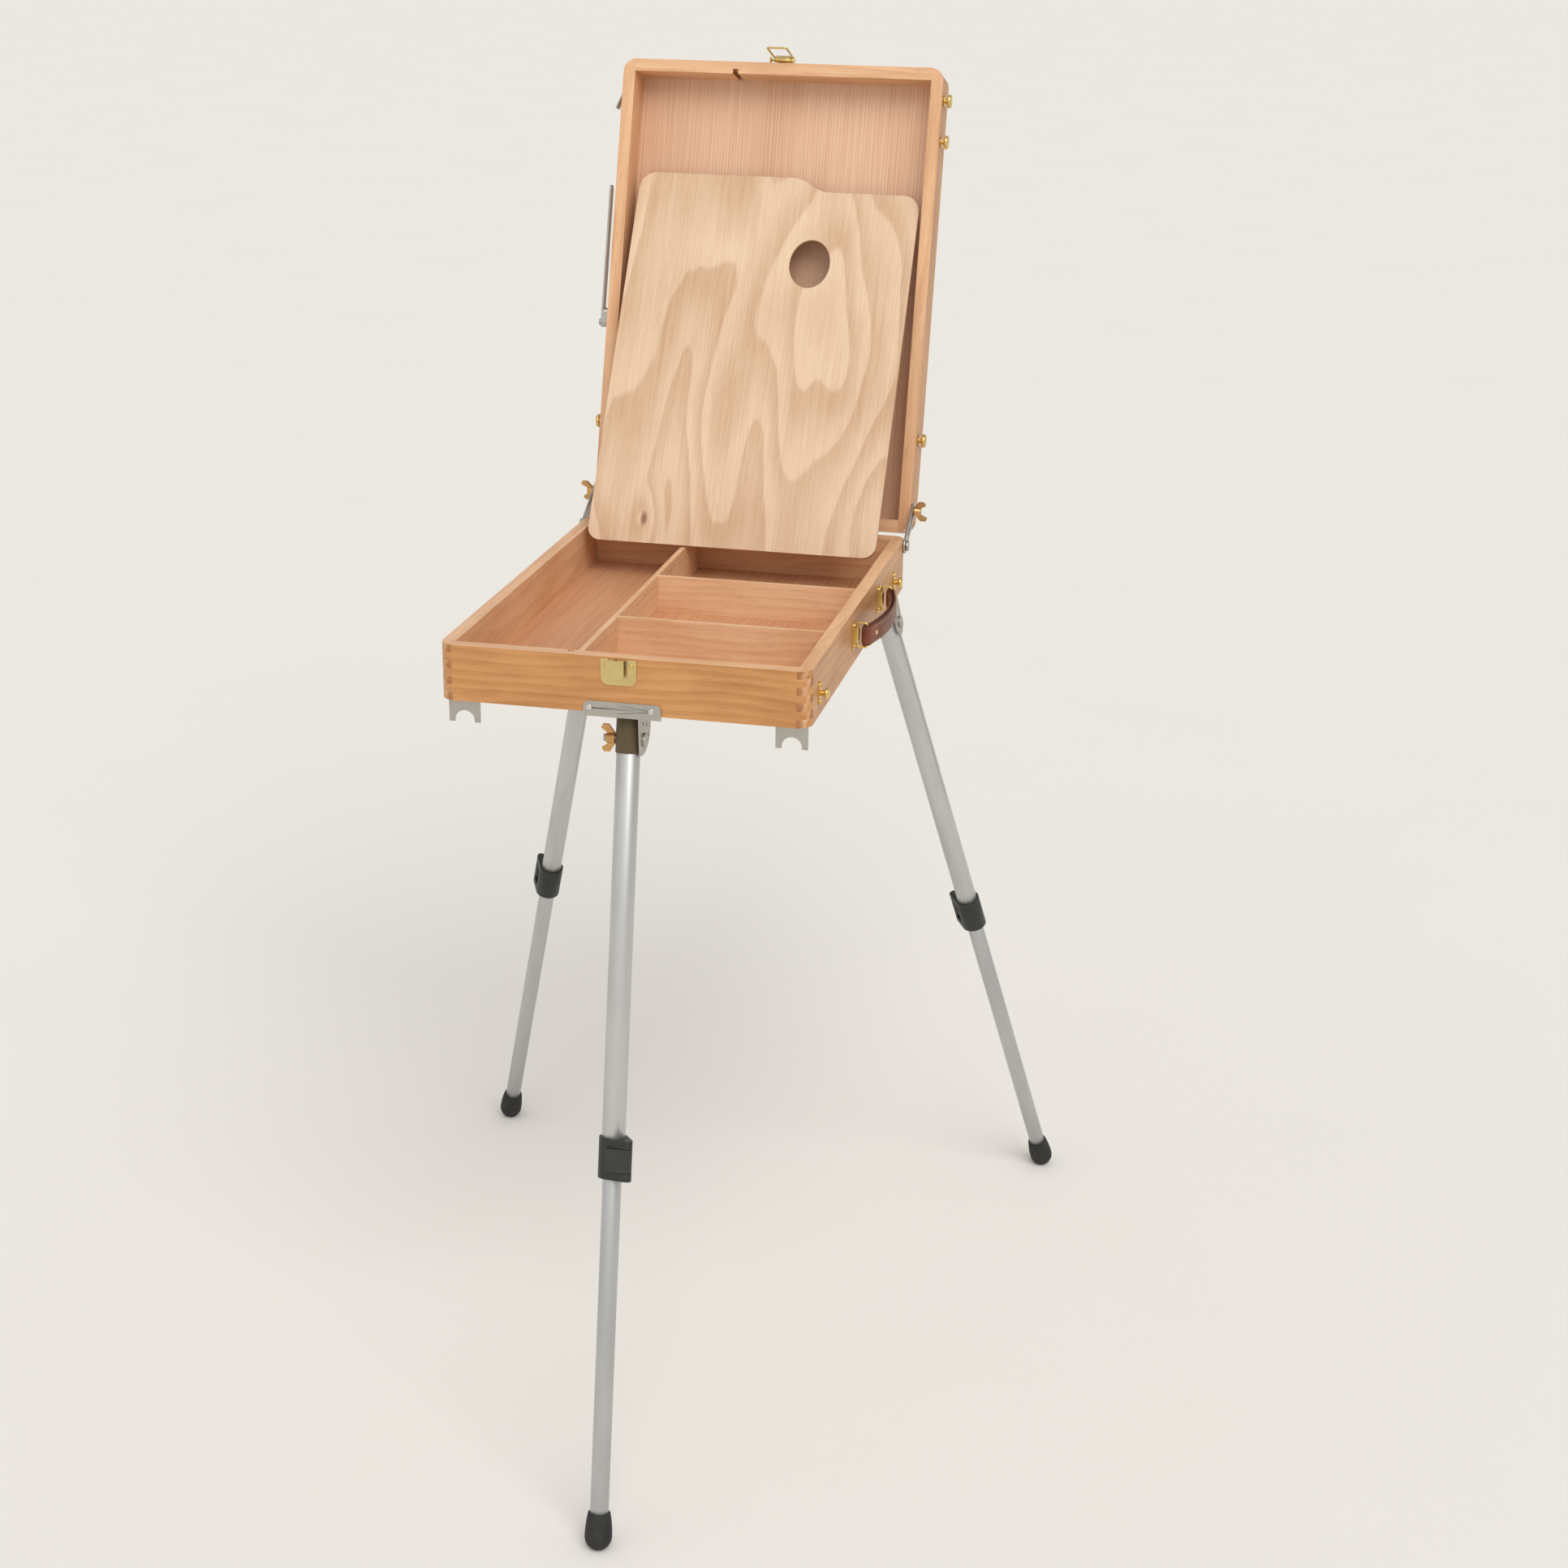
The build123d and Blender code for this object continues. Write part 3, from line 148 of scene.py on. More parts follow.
class Finish:
    """A material that is built from sums."""

    def __init__(self, name):
        self.material = bpy.data.materials.new(name)
        self.material.use_nodes = True
        self.tree = self.material.node_tree
        self.shader = self.tree.nodes["Principled BSDF"]

    def node(self, kind, settings=None, sockets=None, out=0):
        """Makes any node: its settings first, then a number or a link for each socket, by name or place."""
        made = self.tree.nodes.new(kind)
        for key, value in (settings or {}).items():
            setattr(made, key, value)
        for key, value in (sockets or {}).items():
            self.feed(made.inputs[key], value)
        return Field(self, made.outputs[out])

    def feed(self, socket, value):
        if isinstance(value, Field):
            self.tree.links.new(value.socket, socket)
        elif socket.type == "RGBA":
            socket.default_value = (*value, 1) if len(value) == 3 else value
        else:
            socket.default_value = value

    def coordinates(self):
        return self.node("ShaderNodeTexCoord", out="Object")

    def surface_direction(self):
        return self.node("ShaderNodeTexCoord", out="Normal")

    def vector(self, operation, a, b=(0, 0, 0), out=0):
        return self.node("ShaderNodeVectorMath", {"operation": operation}, {0: a, 1: b}, out)

    def dot(self, a, b):
        return self.vector("DOT_PRODUCT", a, b, "Value")

    def stretched(self, place, direction, across, along):
        """Coordinates for a streaky texture: across and along are how many times it repeats in a metre."""
        run = self.dot(place, direction)
        spread = self.node("ShaderNodeCombineXYZ", None, {0: run, 1: run, 2: run})
        lengthwise = self.vector("MULTIPLY", spread, direction)
        crosswise = self.vector("SUBTRACT", place, lengthwise)
        fine = self.node("ShaderNodeVectorMath", {"operation": "SCALE"}, {0: crosswise, "Scale": across})
        coarse = self.node("ShaderNodeVectorMath", {"operation": "SCALE"}, {0: lengthwise, "Scale": along})
        return self.vector("ADD", fine, coarse)

    def noise(self, place, scale, detail=3.0, roughness=0.5):
        return self.node(
            "ShaderNodeTexNoise", None, {"Vector": place, "Scale": scale, "Detail": detail, "Roughness": roughness}
        )

    def mix(self, share, first, second, blend="MIX"):
        return self.node(
            "ShaderNodeMix", {"data_type": "RGBA", "blend_type": blend, "clamp_factor": True},
            {0: share, 6: first, 7: second}, 2
        )

    def bump(self, height, strength, distance):
        self.feed(
            self.shader.inputs["Normal"],
            self.node("ShaderNodeBump", None, {"Height": height, "Strength": strength, "Distance": distance})
        )

    def set(self, **sockets):
        """Feeds the surface shader; base_color stands for its Base Color socket, and so on."""
        for key, value in sockets.items():
            name = {"ior": "IOR", "specular_level": "Specular IOR Level"}.get(key, key.replace("_", " ").title())
            self.feed(self.shader.inputs[name], value)
        return self.material


def colour(red, green, blue):
    """A colour given as it looks on a screen, 0 to 255, turned into the linear light that Blender works in."""
    return tuple((c / 255 / 12.92) if c <= 10 else ((c / 255 + 0.055) / 1.055) ** 2.4 for c in (red, green, blue))


print("screen grey 128 is", round(colour(128, 128, 128)[0], 3), "of white in linear light")

# %% [markdown]
# ## Dressing a part
#
# The CAD parts arrive with knife-sharp edges. Real boards are sanded before they are varnished and real sheet
# metal is tumbled, and the thin line of light along a rounded edge is what makes a small object look its true
# size. A Weld modifier joins the faces of the imported mesh, and a Bevel modifier rounds only its sharp edges, so the
# part itself is left as it came.

# %% A helper that gives parts their finish and their softened edges
WELD_REACH = 0.00001
SHARP = radians(40)


def dress(names, material, softened=0.0, segments=2):
    """Gives parts their finish and, if asked, rounds their sharp edges by that many metres."""
    for name in names.split():
        part = parts[name]
        part.data.materials.clear()
        part.data.materials.append(material)
        if softened:
            weld = part.modifiers.new("weld", "WELD")
            weld.merge_threshold = WELD_REACH
            edge = part.modifiers.new("softened edges", "BEVEL")
            edge.width = softened
            edge.segments = segments
            edge.limit_method = "ANGLE"
            edge.angle_limit = SHARP
            edge.use_clamp_overlap = True
            edge.harden_normals = True


ALONG_X = (1, 0, 0)
ALONG_Y = (0, 1, 0)
LID_LEAN = radians(16.6)
UP_THE_LID = (0, sin(LID_LEAN), cos(LID_LEAN))
PALETTE_LEAN = radians(32)
UP_THE_PALETTE = (0, sin(PALETTE_LEAN), cos(PALETTE_LEAN))

# %% [markdown]
# ## Varnished boards
#
# A board is a slice of a trunk, so its figure is worked out in the round: every point has a distance from the
# heart of the tree, that distance falls in a growth ring, and the ring gives the tone. Cut along the trunk the
# rings show as long lines, and cut across it, on the ends of the fingers in the corner joints, the same rings show
# as arcs with open pores, which drink more varnish and turn darker. Fine streaks along the grain are the fibres.
# Every board is given its own heart, so no two of them match.

# %% Solid wood
def board(name, grain, heart, pale, deep, end_tone, outward=None, varnish=None, ring=7.5, gloss=0.4):
    wood = Finish(name)
    place = wood.coordinates()
    facing = wood.surface_direction()
    wobble = wood.noise(wood.stretched(place, grain, 16, 2.2), 1.0, 3.0) - 0.5
    from_heart = wood.vector(
        "LENGTH", wood.vector("SUBTRACT", wood.stretched(place, grain, 1, 0), heart), out="Value"
    )
    rings = ((from_heart + wobble * 0.05) / (ring * MM)).fraction()
    late_wood = rings.step(0.1, 0.95) * (1 - rings.step(0.95, 1.0))
    fibres = wood.noise(wood.stretched(place, grain, 520, 16), 1.0, 4.0, 0.62)
    flecks = wood.noise(wood.stretched(place, grain, 900, 75), 1.0, 2.0).step(0.60, 0.72)
    clouds = wood.noise(wood.stretched(place, grain, 34, 11), 1.0, 3.0)
    tone = late_wood * 0.26 + fibres.step(0.3, 0.75) * 0.24 + clouds.step(0.3, 0.72) * 0.42
    body = wood.mix(tone, pale, deep)
    if outward:
        outside = wood.dot(facing, outward).step(0.5, 0.8)
        body = wood.mix(outside, body, wood.mix(tone, *varnish))
    body = wood.mix(flecks * 0.26, body, tuple(c * 0.4 for c in deep))
    end = abs(wood.dot(facing, grain)).step(0.75, 0.95)
    speckle = wood.noise(place, 1400, 2.0).step(0.42, 0.62)
    end_colour = wood.mix(speckle * 0.35 + late_wood * 0.3, end_tone, tuple(c * 0.55 for c in end_tone))
    wood.set(base_color=wood.mix(end, body, end_colour), roughness=gloss + fibres * 0.14 + end * 0.15)
    wood.set(coat_weight=0.18, coat_roughness=0.22, specular_level=0.4)
    wood.bump(fibres * 0.6 - flecks * 0.7 + late_wood * 0.15, 0.16, 0.0003)
    return wood.material


BARE = colour(230, 186, 144)
BARE_DEEP = colour(198, 142, 98)
HONEY = (colour(206, 150, 92), colour(166, 106, 54))
END_GRAIN = colour(176, 118, 68)
SANDED = 0.0007
LEFTWARD, RIGHTWARD = (-1, 0, 0), (1, 0, 0)
FRONTWARD, BACKWARD = (0, -1, 0), (0, 1, 0)
DOWN_THE_LID = tuple(-n for n in UP_THE_LID)

for name, grain, heart, outward in (
    ("tray_front", ALONG_X, (0, -0.300, 0.60), FRONTWARD),
    ("tray_back", ALONG_X, (0, 0.260, 0.61), BACKWARD),
    ("lid_bottom_wall", ALONG_X, (0, 0.24, 0.60), DOWN_THE_LID),
    ("lid_top_wall", ALONG_X, (0, 0.40, 1.02), UP_THE_LID),
    ("tray_left", ALONG_Y, (-0.22, 0, 0.63), LEFTWARD),
    ("tray_right", ALONG_Y, (0.23, 0, 0.60), RIGHTWARD),
    ("lid_left_wall", UP_THE_LID, (-0.21, 0.16, 0), LEFTWARD),
    ("lid_right_wall", UP_THE_LID, (0.22, 0.17, 0), RIGHTWARD),
):
    dress(name, board(name + "_wood", grain, heart, BARE, BARE_DEEP, END_GRAIN, outward, HONEY), SANDED)
print("8 boards, edges sanded to", SANDED / MM, "mm")

# %% [markdown]
# ## Thin dividers
#
# The tray's partitions are strips of thin wood set in grooves. They are raw inside the box, so they are duller and
# a little greyer than the varnished walls.

# %% Dividers
DIVIDER = colour(232, 194, 154)
DIVIDER_DEEP = colour(206, 154, 112)
THIN_EDGE = 0.0004
dress(
    "long_divider", board("long_divider_wood", ALONG_Y, (0.03, 0, 0.5), DIVIDER, DIVIDER_DEEP, END_GRAIN, gloss=0.5),
    THIN_EDGE
)
dress(
    "cross_divider_front cross_divider_rear",
    board("cross_divider_wood", ALONG_X, (0, 0.02, 0.5), DIVIDER, DIVIDER_DEEP, END_GRAIN, gloss=0.5), THIN_EDGE
)

# %% [markdown]
# ## Sliced veneer
#
# The bottom of the tray and the panel of the lid are plywood with a sliced veneer face: straight, close lines with
# hardly any figure. A veneer is a flat leaf, so its lines are worked out from the distance across the sheet alone
# and bent a little by a slow noise.

# %% Veneered panels
def veneer(name, grain, pale, deep, line_spacing=3.1, gloss=0.42):
    sheet = Finish(name)
    place = sheet.coordinates()
    across = sheet.dot(place, (1, 0, 0))
    drift = sheet.noise(sheet.stretched(place, grain, 14, 1.8), 1.0, 2.0) - 0.5
    lines = ((across + drift * 0.012) / (line_spacing * MM)).wave()
    fibres = sheet.noise(sheet.stretched(place, grain, 900, 9), 1.0, 4.0, 0.6)
    clouds = sheet.noise(sheet.stretched(place, grain, 18, 3), 1.0, 2.0)
    tone = lines * 0.22 + fibres.step(0.35, 0.7) * 0.42 + clouds.step(0.3, 0.7) * 0.28
    body = sheet.mix(tone, pale, deep)
    sheet.set(base_color=body, roughness=gloss + fibres * 0.15, coat_weight=0.12, coat_roughness=0.25)
    sheet.bump(fibres, 0.16, 0.0002)
    return sheet.material


dress("lid_panel", veneer("lid_panel_veneer", UP_THE_LID, colour(228, 190, 158), colour(194, 142, 106)))
dress("tray_floor", veneer("tray_floor_veneer", ALONG_Y, colour(216, 164, 124), colour(176, 116, 78)))

# %% [markdown]
# ## The palette's plywood
#
# The palette is cut from birch ply whose face was peeled from the log like paper from a roll. The knife runs along
# the growth rings instead of across them, so they come out as wide wandering contours, like a map of hills, and a
# branch leaves a small knot with the lines flowing round it. The contours are drawn just as a map's are: a slow
# noise is the height of the land, and a line is drawn each time it climbs another step. The edge shows the plies.

# %% Peeled ply with a knot
palette_low, palette_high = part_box("palette")
palette_middle = (palette_low + palette_high) / 2
ply = Finish("palette_ply")
place = ply.coordinates()
KNOT = Vector((-0.083, palette_middle.y - 0.083, palette_middle.z - 0.133))
land = ply.noise(ply.stretched(place, UP_THE_PALETTE, 9.5, 2.6), 1.0, 1.6, 0.4)
from_knot = ply.vector("SUBTRACT", place, tuple(KNOT))
to_knot = ply.vector("LENGTH", ply.stretched(from_knot, UP_THE_PALETTE, 1, 0.5), out="Value")
knot = 1 - to_knot.step(0.0, 0.022)
ripple = ply.noise(ply.stretched(place, UP_THE_PALETTE, 60, 9), 1.0, 3.0) - 0.5
contours = ((land + ripple * 0.03 + knot * 0.10) * 12).fraction()
contour_line = contours.step(0.1, 0.92) * (1 - contours.step(0.92, 1.0))
fleck = ply.noise(ply.stretched(place, UP_THE_PALETTE, 1300, 60), 1.0, 3.0, 0.6)
fibre = ply.noise(ply.stretched(place, UP_THE_PALETTE, 700, 10), 1.0, 4.0, 0.6)
tone = contour_line * 0.36 + fibre.step(0.3, 0.75) * 0.26 + fleck.step(0.35, 0.7) * 0.14
tone = tone + ply.noise(place, 8, 2.0).step(0.3, 0.7) * 0.22
face = ply.mix(tone, colour(228, 200, 168), colour(184, 141, 104))
face = ply.mix((1 - to_knot.step(0.0015, 0.0045)) * 0.8, face, colour(120, 72, 42))
PLY = 1.07 * MM
PALETTE_FRONT = Vector((0, -cos(PALETTE_LEAN), sin(PALETTE_LEAN)))
edge = 1 - abs(ply.dot(ply.surface_direction(), tuple(PALETTE_FRONT))).step(0.3, 0.6)
depth = ply.dot(place, tuple(PALETTE_FRONT))
plies = ((depth + PLY / 2) / PLY).wave().step(0.3, 0.7)
edge_colour = ply.mix(plies, colour(214, 178, 140), colour(150, 104, 68))
ply.set(base_color=ply.mix(edge, face, edge_colour), roughness=0.5 + fleck * 0.14)
ply.set(coat_weight=0.1, coat_roughness=0.3)
ply.bump(fleck, 0.16, 0.0002)
dress("palette", ply.material, THIN_EDGE)
print("palette", [round(n / MM) for n in palette_high - palette_low], "mm")

# %% [markdown]
# ## Metals
#
# Drawn tube keeps faint lines along its length from the die it was pulled through, stamped brass and steel keep
# the fine random grain of rolled sheet under a thin plating, and both are touched and dulled in places. So the
# roughness changes a little everywhere, in streaks along the tube or in soft clouds on the sheet, while the colour
# hardly does.

# %% Drawn tube
def drawn_tube(name, direction, tint, rough):
    metal = Finish(name)
    place = metal.coordinates()
    lines = metal.noise(metal.stretched(place, direction, 2600, 6), 1.0, 3.0, 0.6)
    haze = metal.noise(metal.stretched(place, direction, 60, 12), 1.0, 2.0)
    tone = metal.mix(haze.step(0.3, 0.7) * 0.5 + lines * 0.3, tint, tuple(c * 0.8 for c in tint))
    metal.set(base_color=tone, roughness=rough + haze * 0.10 + lines * 0.10, metallic=0.92)
    metal.bump(lines, 0.10, 0.0001)
    return metal.material


SATIN = colour(206, 206, 204)
INNER_SATIN = colour(196, 197, 197)
TUBE_EDGE = 0.2 * MM
LEGS = ("front", "rear_left", "rear_right")


def middle_of(name):
    low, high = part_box(name)
    return (low + high) / 2


for leg in LEGS:
    down = (middle_of(leg + "_foot") - middle_of(leg + "_collar")).normalized()
    dress(leg + "_upper_tube", drawn_tube(leg + "_tube_metal", tuple(down), SATIN, 0.34), TUBE_EDGE)
    dress(leg + "_lower_tube", drawn_tube(leg + "_inner_tube_metal", tuple(down), INNER_SATIN, 0.30), TUBE_EDGE)
    print(leg, "leg leans", round(down.angle(Vector((0, 0, -1))) * 180 / pi, 1), "degrees")


# %% Sheet and turned metal
def plated(name, tint, tarnish, rough, metallic=1.0):
    metal = Finish(name)
    place = metal.coordinates()
    grain = metal.noise(place, 1800, 2.0)
    clouds = metal.noise(place, 95, 3.0, 0.6)
    tone = metal.mix(clouds.step(0.3, 0.8) * 0.35 + grain * 0.12, tint, tarnish)
    metal.set(base_color=tone, roughness=rough + clouds * 0.10 + grain * 0.06, metallic=metallic)
    metal.bump(grain, 0.08, 0.00008)
    return metal.material


BRASS = plated("polished_brass", colour(232, 200, 128), colour(188, 146, 78), 0.20)
OLD_BRASS = plated("lacquered_brass", colour(222, 200, 140), colour(190, 164, 100), 0.26)
COPPERY = plated("coppery_brass", colour(214, 168, 112), colour(166, 112, 66), 0.28)
ZINC = plated("zinc_steel", colour(188, 184, 176), colour(160, 156, 146), 0.36)
BRIGHT = plated("bright_steel", colour(222, 221, 216), colour(176, 175, 170), 0.2)

FINE_EDGE = 0.12 * MM
SHEET_EDGE = 0.2 * MM
CAST_EDGE = 0.3 * MM
dress("latch_base latch_lever latch_bail lid_screws tray_brass_screws", BRASS, FINE_EDGE)
dress("canvas_knobs canvas_washers handle_plates handle_rings stud_plates strap_studs", BRASS, FINE_EDGE)
dress("catch_plate", OLD_BRASS, SHEET_EDGE)
dress("stay_wing_nuts leg_wing_nuts", COPPERY, CAST_EDGE)
dress("stay_left stay_right stay_screws stay_bolts leg_bolts arm_screw canvas_clip canvas_arm", ZINC, FINE_EDGE)
dress("front_leg_bracket rear_left_leg_bracket rear_right_leg_bracket leg_clips", ZINC, SHEET_EDGE)
dress("bracket_screws", BRIGHT, FINE_EDGE)
print("metal parts, edges softened by", round(FINE_EDGE / MM, 2), "to", round(CAST_EDGE / MM, 2), "mm")

# %% [markdown]
# ## Moulded plastic and rubber
#
# The clamps and sockets of the legs are injection moulded. The mould was spark-eroded, which leaves an even, very
# fine orange-peel on the surface, and handling polishes it in places. The rubber feet are the same idea, duller,
# with floor dust on them.

# %% Moulded parts
def moulded(name, tint, rough, peel=900, dust=None, ribs_about=None, ribs=36):
    plastic = Finish(name)
    place = plastic.coordinates()
    skin = plastic.noise(place, peel, 2.0)
    wear = plastic.noise(place, 70, 3.0, 0.6)
    tone = plastic.mix(wear.step(0.35, 0.75) * 0.5, tint, dust or tuple(min(1, c * 1.6 + 0.004) for c in tint))
    plastic.set(base_color=tone, roughness=rough + wear * 0.14 + skin * 0.08, specular_level=0.45)
    height = skin
    if ribs_about:
        spoke = plastic.vector("SUBTRACT", place, ribs_about)
        x = plastic.dot(spoke, (1, 0, 0))
        y = plastic.dot(spoke, (0, 1, 0))
        height = skin * 0.15 + (x.math("ARCTAN2", y, x) * (ribs / (2 * pi))).wave()
    plastic.bump(height, 0.35 if ribs_about else 0.14, 0.0004 if ribs_about else 0.00015)
    return plastic.material


COLLAR_PLASTIC = moulded("collar_plastic", colour(34, 38, 34), 0.36)
LEVER_PLASTIC = moulded("lever_plastic", colour(40, 43, 39), 0.30)
SOCKET_PLASTIC = moulded(
    "socket_plastic", colour(84, 70, 44), 0.42, ribs_about=tuple(middle_of("front_leg_socket"))
)
RUBBER = moulded("foot_rubber", colour(30, 30, 30), 0.62, 500, colour(62, 60, 56))
for leg in LEGS:
    dress(leg + "_collar", COLLAR_PLASTIC, 0.0005, 3)
    dress(leg + "_clamp_lever", LEVER_PLASTIC, 0.0006, 3)
    dress(leg + "_foot", RUBBER, 0.0003)
dress("front_leg_socket", SOCKET_PLASTIC, 0.0005)
dress("rear_left_leg_plug rear_right_leg_plug", COLLAR_PLASTIC, 0.0004)

# %% [markdown]
# ## The leather handle
#
# The handle is one strip of bridle leather, folded round the brass ring at each end and stitched to itself along
# both edges. It is made the same way: a path runs out along the outer face, turns round one ring, comes back along
# the inner face, and turns round the other, and the section of the strip is carried along it. The strip is thicker
# in the middle of its width than at its edges, because the stitching pulls the edges together, and a hand has
# rubbed it darker and shinier in the middle of its length.

# %% Where the handle goes
ring_low, ring_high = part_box("handle_rings")
strap_low, strap_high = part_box("handle_strap")
WIRE = 1.1 * MM
LEATHER = 3.0 * MM
ring_x = ring_high.x - WIRE
ring_ends = (ring_low.y + WIRE, ring_high.y - WIRE)
handle_z = (strap_low.z + strap_high.z) / 2
half_width = (strap_high.z - strap_low.z) / 2
bow = strap_high.x - 3.4 * MM - ring_x
span = ring_ends[1] - ring_ends[0]
print("handle spans", round(span / MM), "mm and bows out", round(bow / MM, 1), "mm")


def spine(share):
    """A point on the handle's middle line, from 0 at the front ring to 1 at the back, and the way out from it."""
    radius = (span * span / 4 + bow * bow) / (2 * bow)
    half_angle = atan2(span / 2, radius - bow)
    angle = (2 * share - 1) * half_angle
    centre = Vector((ring_x + bow - radius, sum(ring_ends) / 2, handle_z))
    out = Vector((cos(angle), sin(angle), 0))
    return centre + out * radius, out


# %% [markdown]
# ## Leather
#
# Leather's skin is a net of small creases, finer where it is stretched and coarser where it is bent. A Voronoi
# pattern gives the cells between the creases. The creases are also painted darker, as painted shade, and the edges,
# cut and burnished, are darker than the face.

# %% Leather finish
leather = Finish("bridle_leather")
place = leather.coordinates()
cells = leather.node(
    "ShaderNodeTexVoronoi", {"feature": "DISTANCE_TO_EDGE"}, {"Vector": place, "Scale": 900.0, "Randomness": 1.0}
)
creases = 1 - cells.step(0.0, 0.12)
mottle = leather.noise(place, 60, 3.0, 0.6)
height_up = abs(leather.dot(place, (0, 0, 1)) - handle_z)
cut_edge = height_up.step(half_width - 1.2 * MM, half_width - 0.3 * MM)
rubbed = 1 - abs(leather.dot(place, (0, 1, 0)) - sum(ring_ends) / 2).step(0.01, 0.045)
# The mottle is the leather's own colour; the creases are painted darker here as painted shade in them.
tone = leather.mix(mottle.step(0.3, 0.7) * 0.6 + creases * 0.3, colour(134, 72, 46), colour(84, 40, 26))
tone = leather.mix(rubbed * 0.3, tone, colour(84, 42, 28))
tone = leather.mix(cut_edge * 0.7, tone, colour(64, 32, 22))
leather.set(base_color=tone, roughness=0.44 + mottle * 0.12 - rubbed * 0.12, specular_level=0.4)
leather.bump(mottle * 0.5 - creases * 0.6, 0.35, 0.0003)
print("leather for a handle", round(2 * half_width / MM), "mm wide")

# %% The folded strip
FACE_STEPS = 56
TURN_STEPS = 14
loop_radius = WIRE + 0.2 * MM + LEATHER / 2
face_gap = LEATHER / 2 + 0.12 * MM


FIRST_FACE_SHARE = 0.045
OPENING_SHARE = 0.11


def half_gap(share):
    """How far each face's middle stands from the handle's middle line: wider near the rings, which it goes round."""
    near_end = max(0, 1 - min(share, 1 - share) / OPENING_SHARE)
    return face_gap + (loop_radius - face_gap) * near_end ** 2


def fold_path():
    """Points and outward directions round the whole folded strip."""
    points = []
    for face in (1, -1):
        for i in range(FACE_STEPS):
            share = FIRST_FACE_SHARE + (1 - 2 * FIRST_FACE_SHARE) * i / (FACE_STEPS - 1)
            if face < 0:
                share = 1 - share
            middle, out = spine(share)
            points.append((middle + out * half_gap(share) * face, out * face))
        end = 1 if face > 0 else 0
        centre, out = spine(end)
        start = atan2(out.y, out.x) if face > 0 else atan2(-out.y, -out.x)
        for i in range(1, TURN_STEPS):
            angle = start + pi * i / TURN_STEPS
            way = Vector((cos(angle), sin(angle), 0))
            points.append((centre + way * loop_radius, way))
    return points


def strip_section():
    """The strip's rounded section: distance across the thickness and up the width, each from -1 to 1."""
    section = []
    for i in range(24):
        angle = 2 * pi * i / 24
        c, s = cos(angle), sin(angle)
        section.append((abs(c) ** 0.55 * (1 if c > 0 else -1), abs(s) ** 0.42 * (1 if s > 0 else -1)))
    return section


def finish_mesh(name, mesh, material):
    """Turns made-up mesh into a smooth piece with its finish."""
    bmesh.ops.recalc_face_normals(mesh, faces=mesh.faces)
    data = bpy.data.meshes.new(name)
    mesh.to_mesh(data)
    mesh.free()
    for face in data.polygons:
        face.use_smooth = True
    data.materials.append(material)
    piece = bpy.data.objects.new(name, data)
    bpy.context.scene.collection.objects.link(piece)
    return piece


def loft(name, rows, material):
    """A closed tube of mesh through rows of points, joined end to end."""
    mesh = bmesh.new()
    made = [[mesh.verts.new(point) for point in row] for row in rows]
    for i, row in enumerate(made):
        following = made[(i + 1) % len(made)]
        for j in range(len(row)):
            k = (j + 1) % len(row)
            mesh.faces.new((row[j], row[k], following[k], following[j]))
    return finish_mesh(name, mesh, material)


EDGE_THINNING = 0.34
rows = []
for point, out in fold_path():
    row = []
    for thickness, width in strip_section():
        crown = 1 - EDGE_THINNING * abs(width) ** 3
        upwards = Vector((0, 0, width * (half_width - 0.2 * MM)))
        row.append(point + out * thickness * crown * LEATHER / 2 + upwards)
    rows.append(row)
strap = loft("leather_handle", rows, leather.material)
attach(strap, "tray")
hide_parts("handle_strap")
print("handle strip", len(strap.data.polygons), "faces")

# %% [markdown]
# ## Stitching
#
# Saddle stitches are short slanting lengths of waxed thread that sink a little at each end into the leather, in a
# row just inside each edge. Each one is a small tapered bead of mesh laid along the row.

# %% Stitches and rivets
STITCH_PITCH = 4.2 * MM
STITCH_INSET = 2.4 * MM


def bead(mesh, centre, along, out, length, radius, rings=6, sides=8):
    """A small tapered bead, thick in the middle, lying along a direction."""
    across = along.cross(out).normalized()
    previous = None
    for i in range(rings + 1):
        share = i / rings
        size = radius * max(0.12, sin(pi * share)) ** 0.6
        middle = centre + along * (share - 0.5) * length
        ring = [
            mesh.verts.new(middle + (across * cos(2 * pi * j / sides) + out * sin(2 * pi * j / sides) * 0.8) * size)
            for j in range(sides)
        ]
        if previous:
            for j in range(sides):
                mesh.faces.new((previous[j], previous[(j + 1) % sides], ring[(j + 1) % sides], ring[j]))
        else:
            mesh.faces.new(ring[::-1])
        previous = ring
    mesh.faces.new(previous)


thread = Finish("waxed_thread")
twist = thread.noise(thread.stretched(thread.coordinates(), ALONG_Y, 2600, 900), 1.0, 2.0)
thread.set(base_color=thread.mix(twist, colour(196, 166, 120), colour(132, 98, 62)), roughness=0.6 + twist * 0.1)
thread.bump(twist, 0.3, 0.0001)
stitches = bmesh.new()
count = int(span * 0.84 / STITCH_PITCH)
for i in range(count + 1):
    share = 0.08 + 0.84 * i / count
    middle, out = spine(share)
    along = Vector((-out.y, out.x, 0))
    for edge_side in (-1, 1):
        slant = (along + Vector((0, 0, 0.22 * edge_side))).normalized()
        height = Vector((0, 0, edge_side * (half_width - STITCH_INSET)))
        for face in (1, -1):
            offset = half_gap(share) + LEATHER / 2 * 0.86
            bead(stitches, middle + out * offset * face + height, slant, out * face, STITCH_PITCH * 0.72, 0.42 * MM)
handle_stitches = finish_mesh("handle_stitches", stitches, thread.material)
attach(handle_stitches, "tray")
print(4 * (count + 1), "stitches")


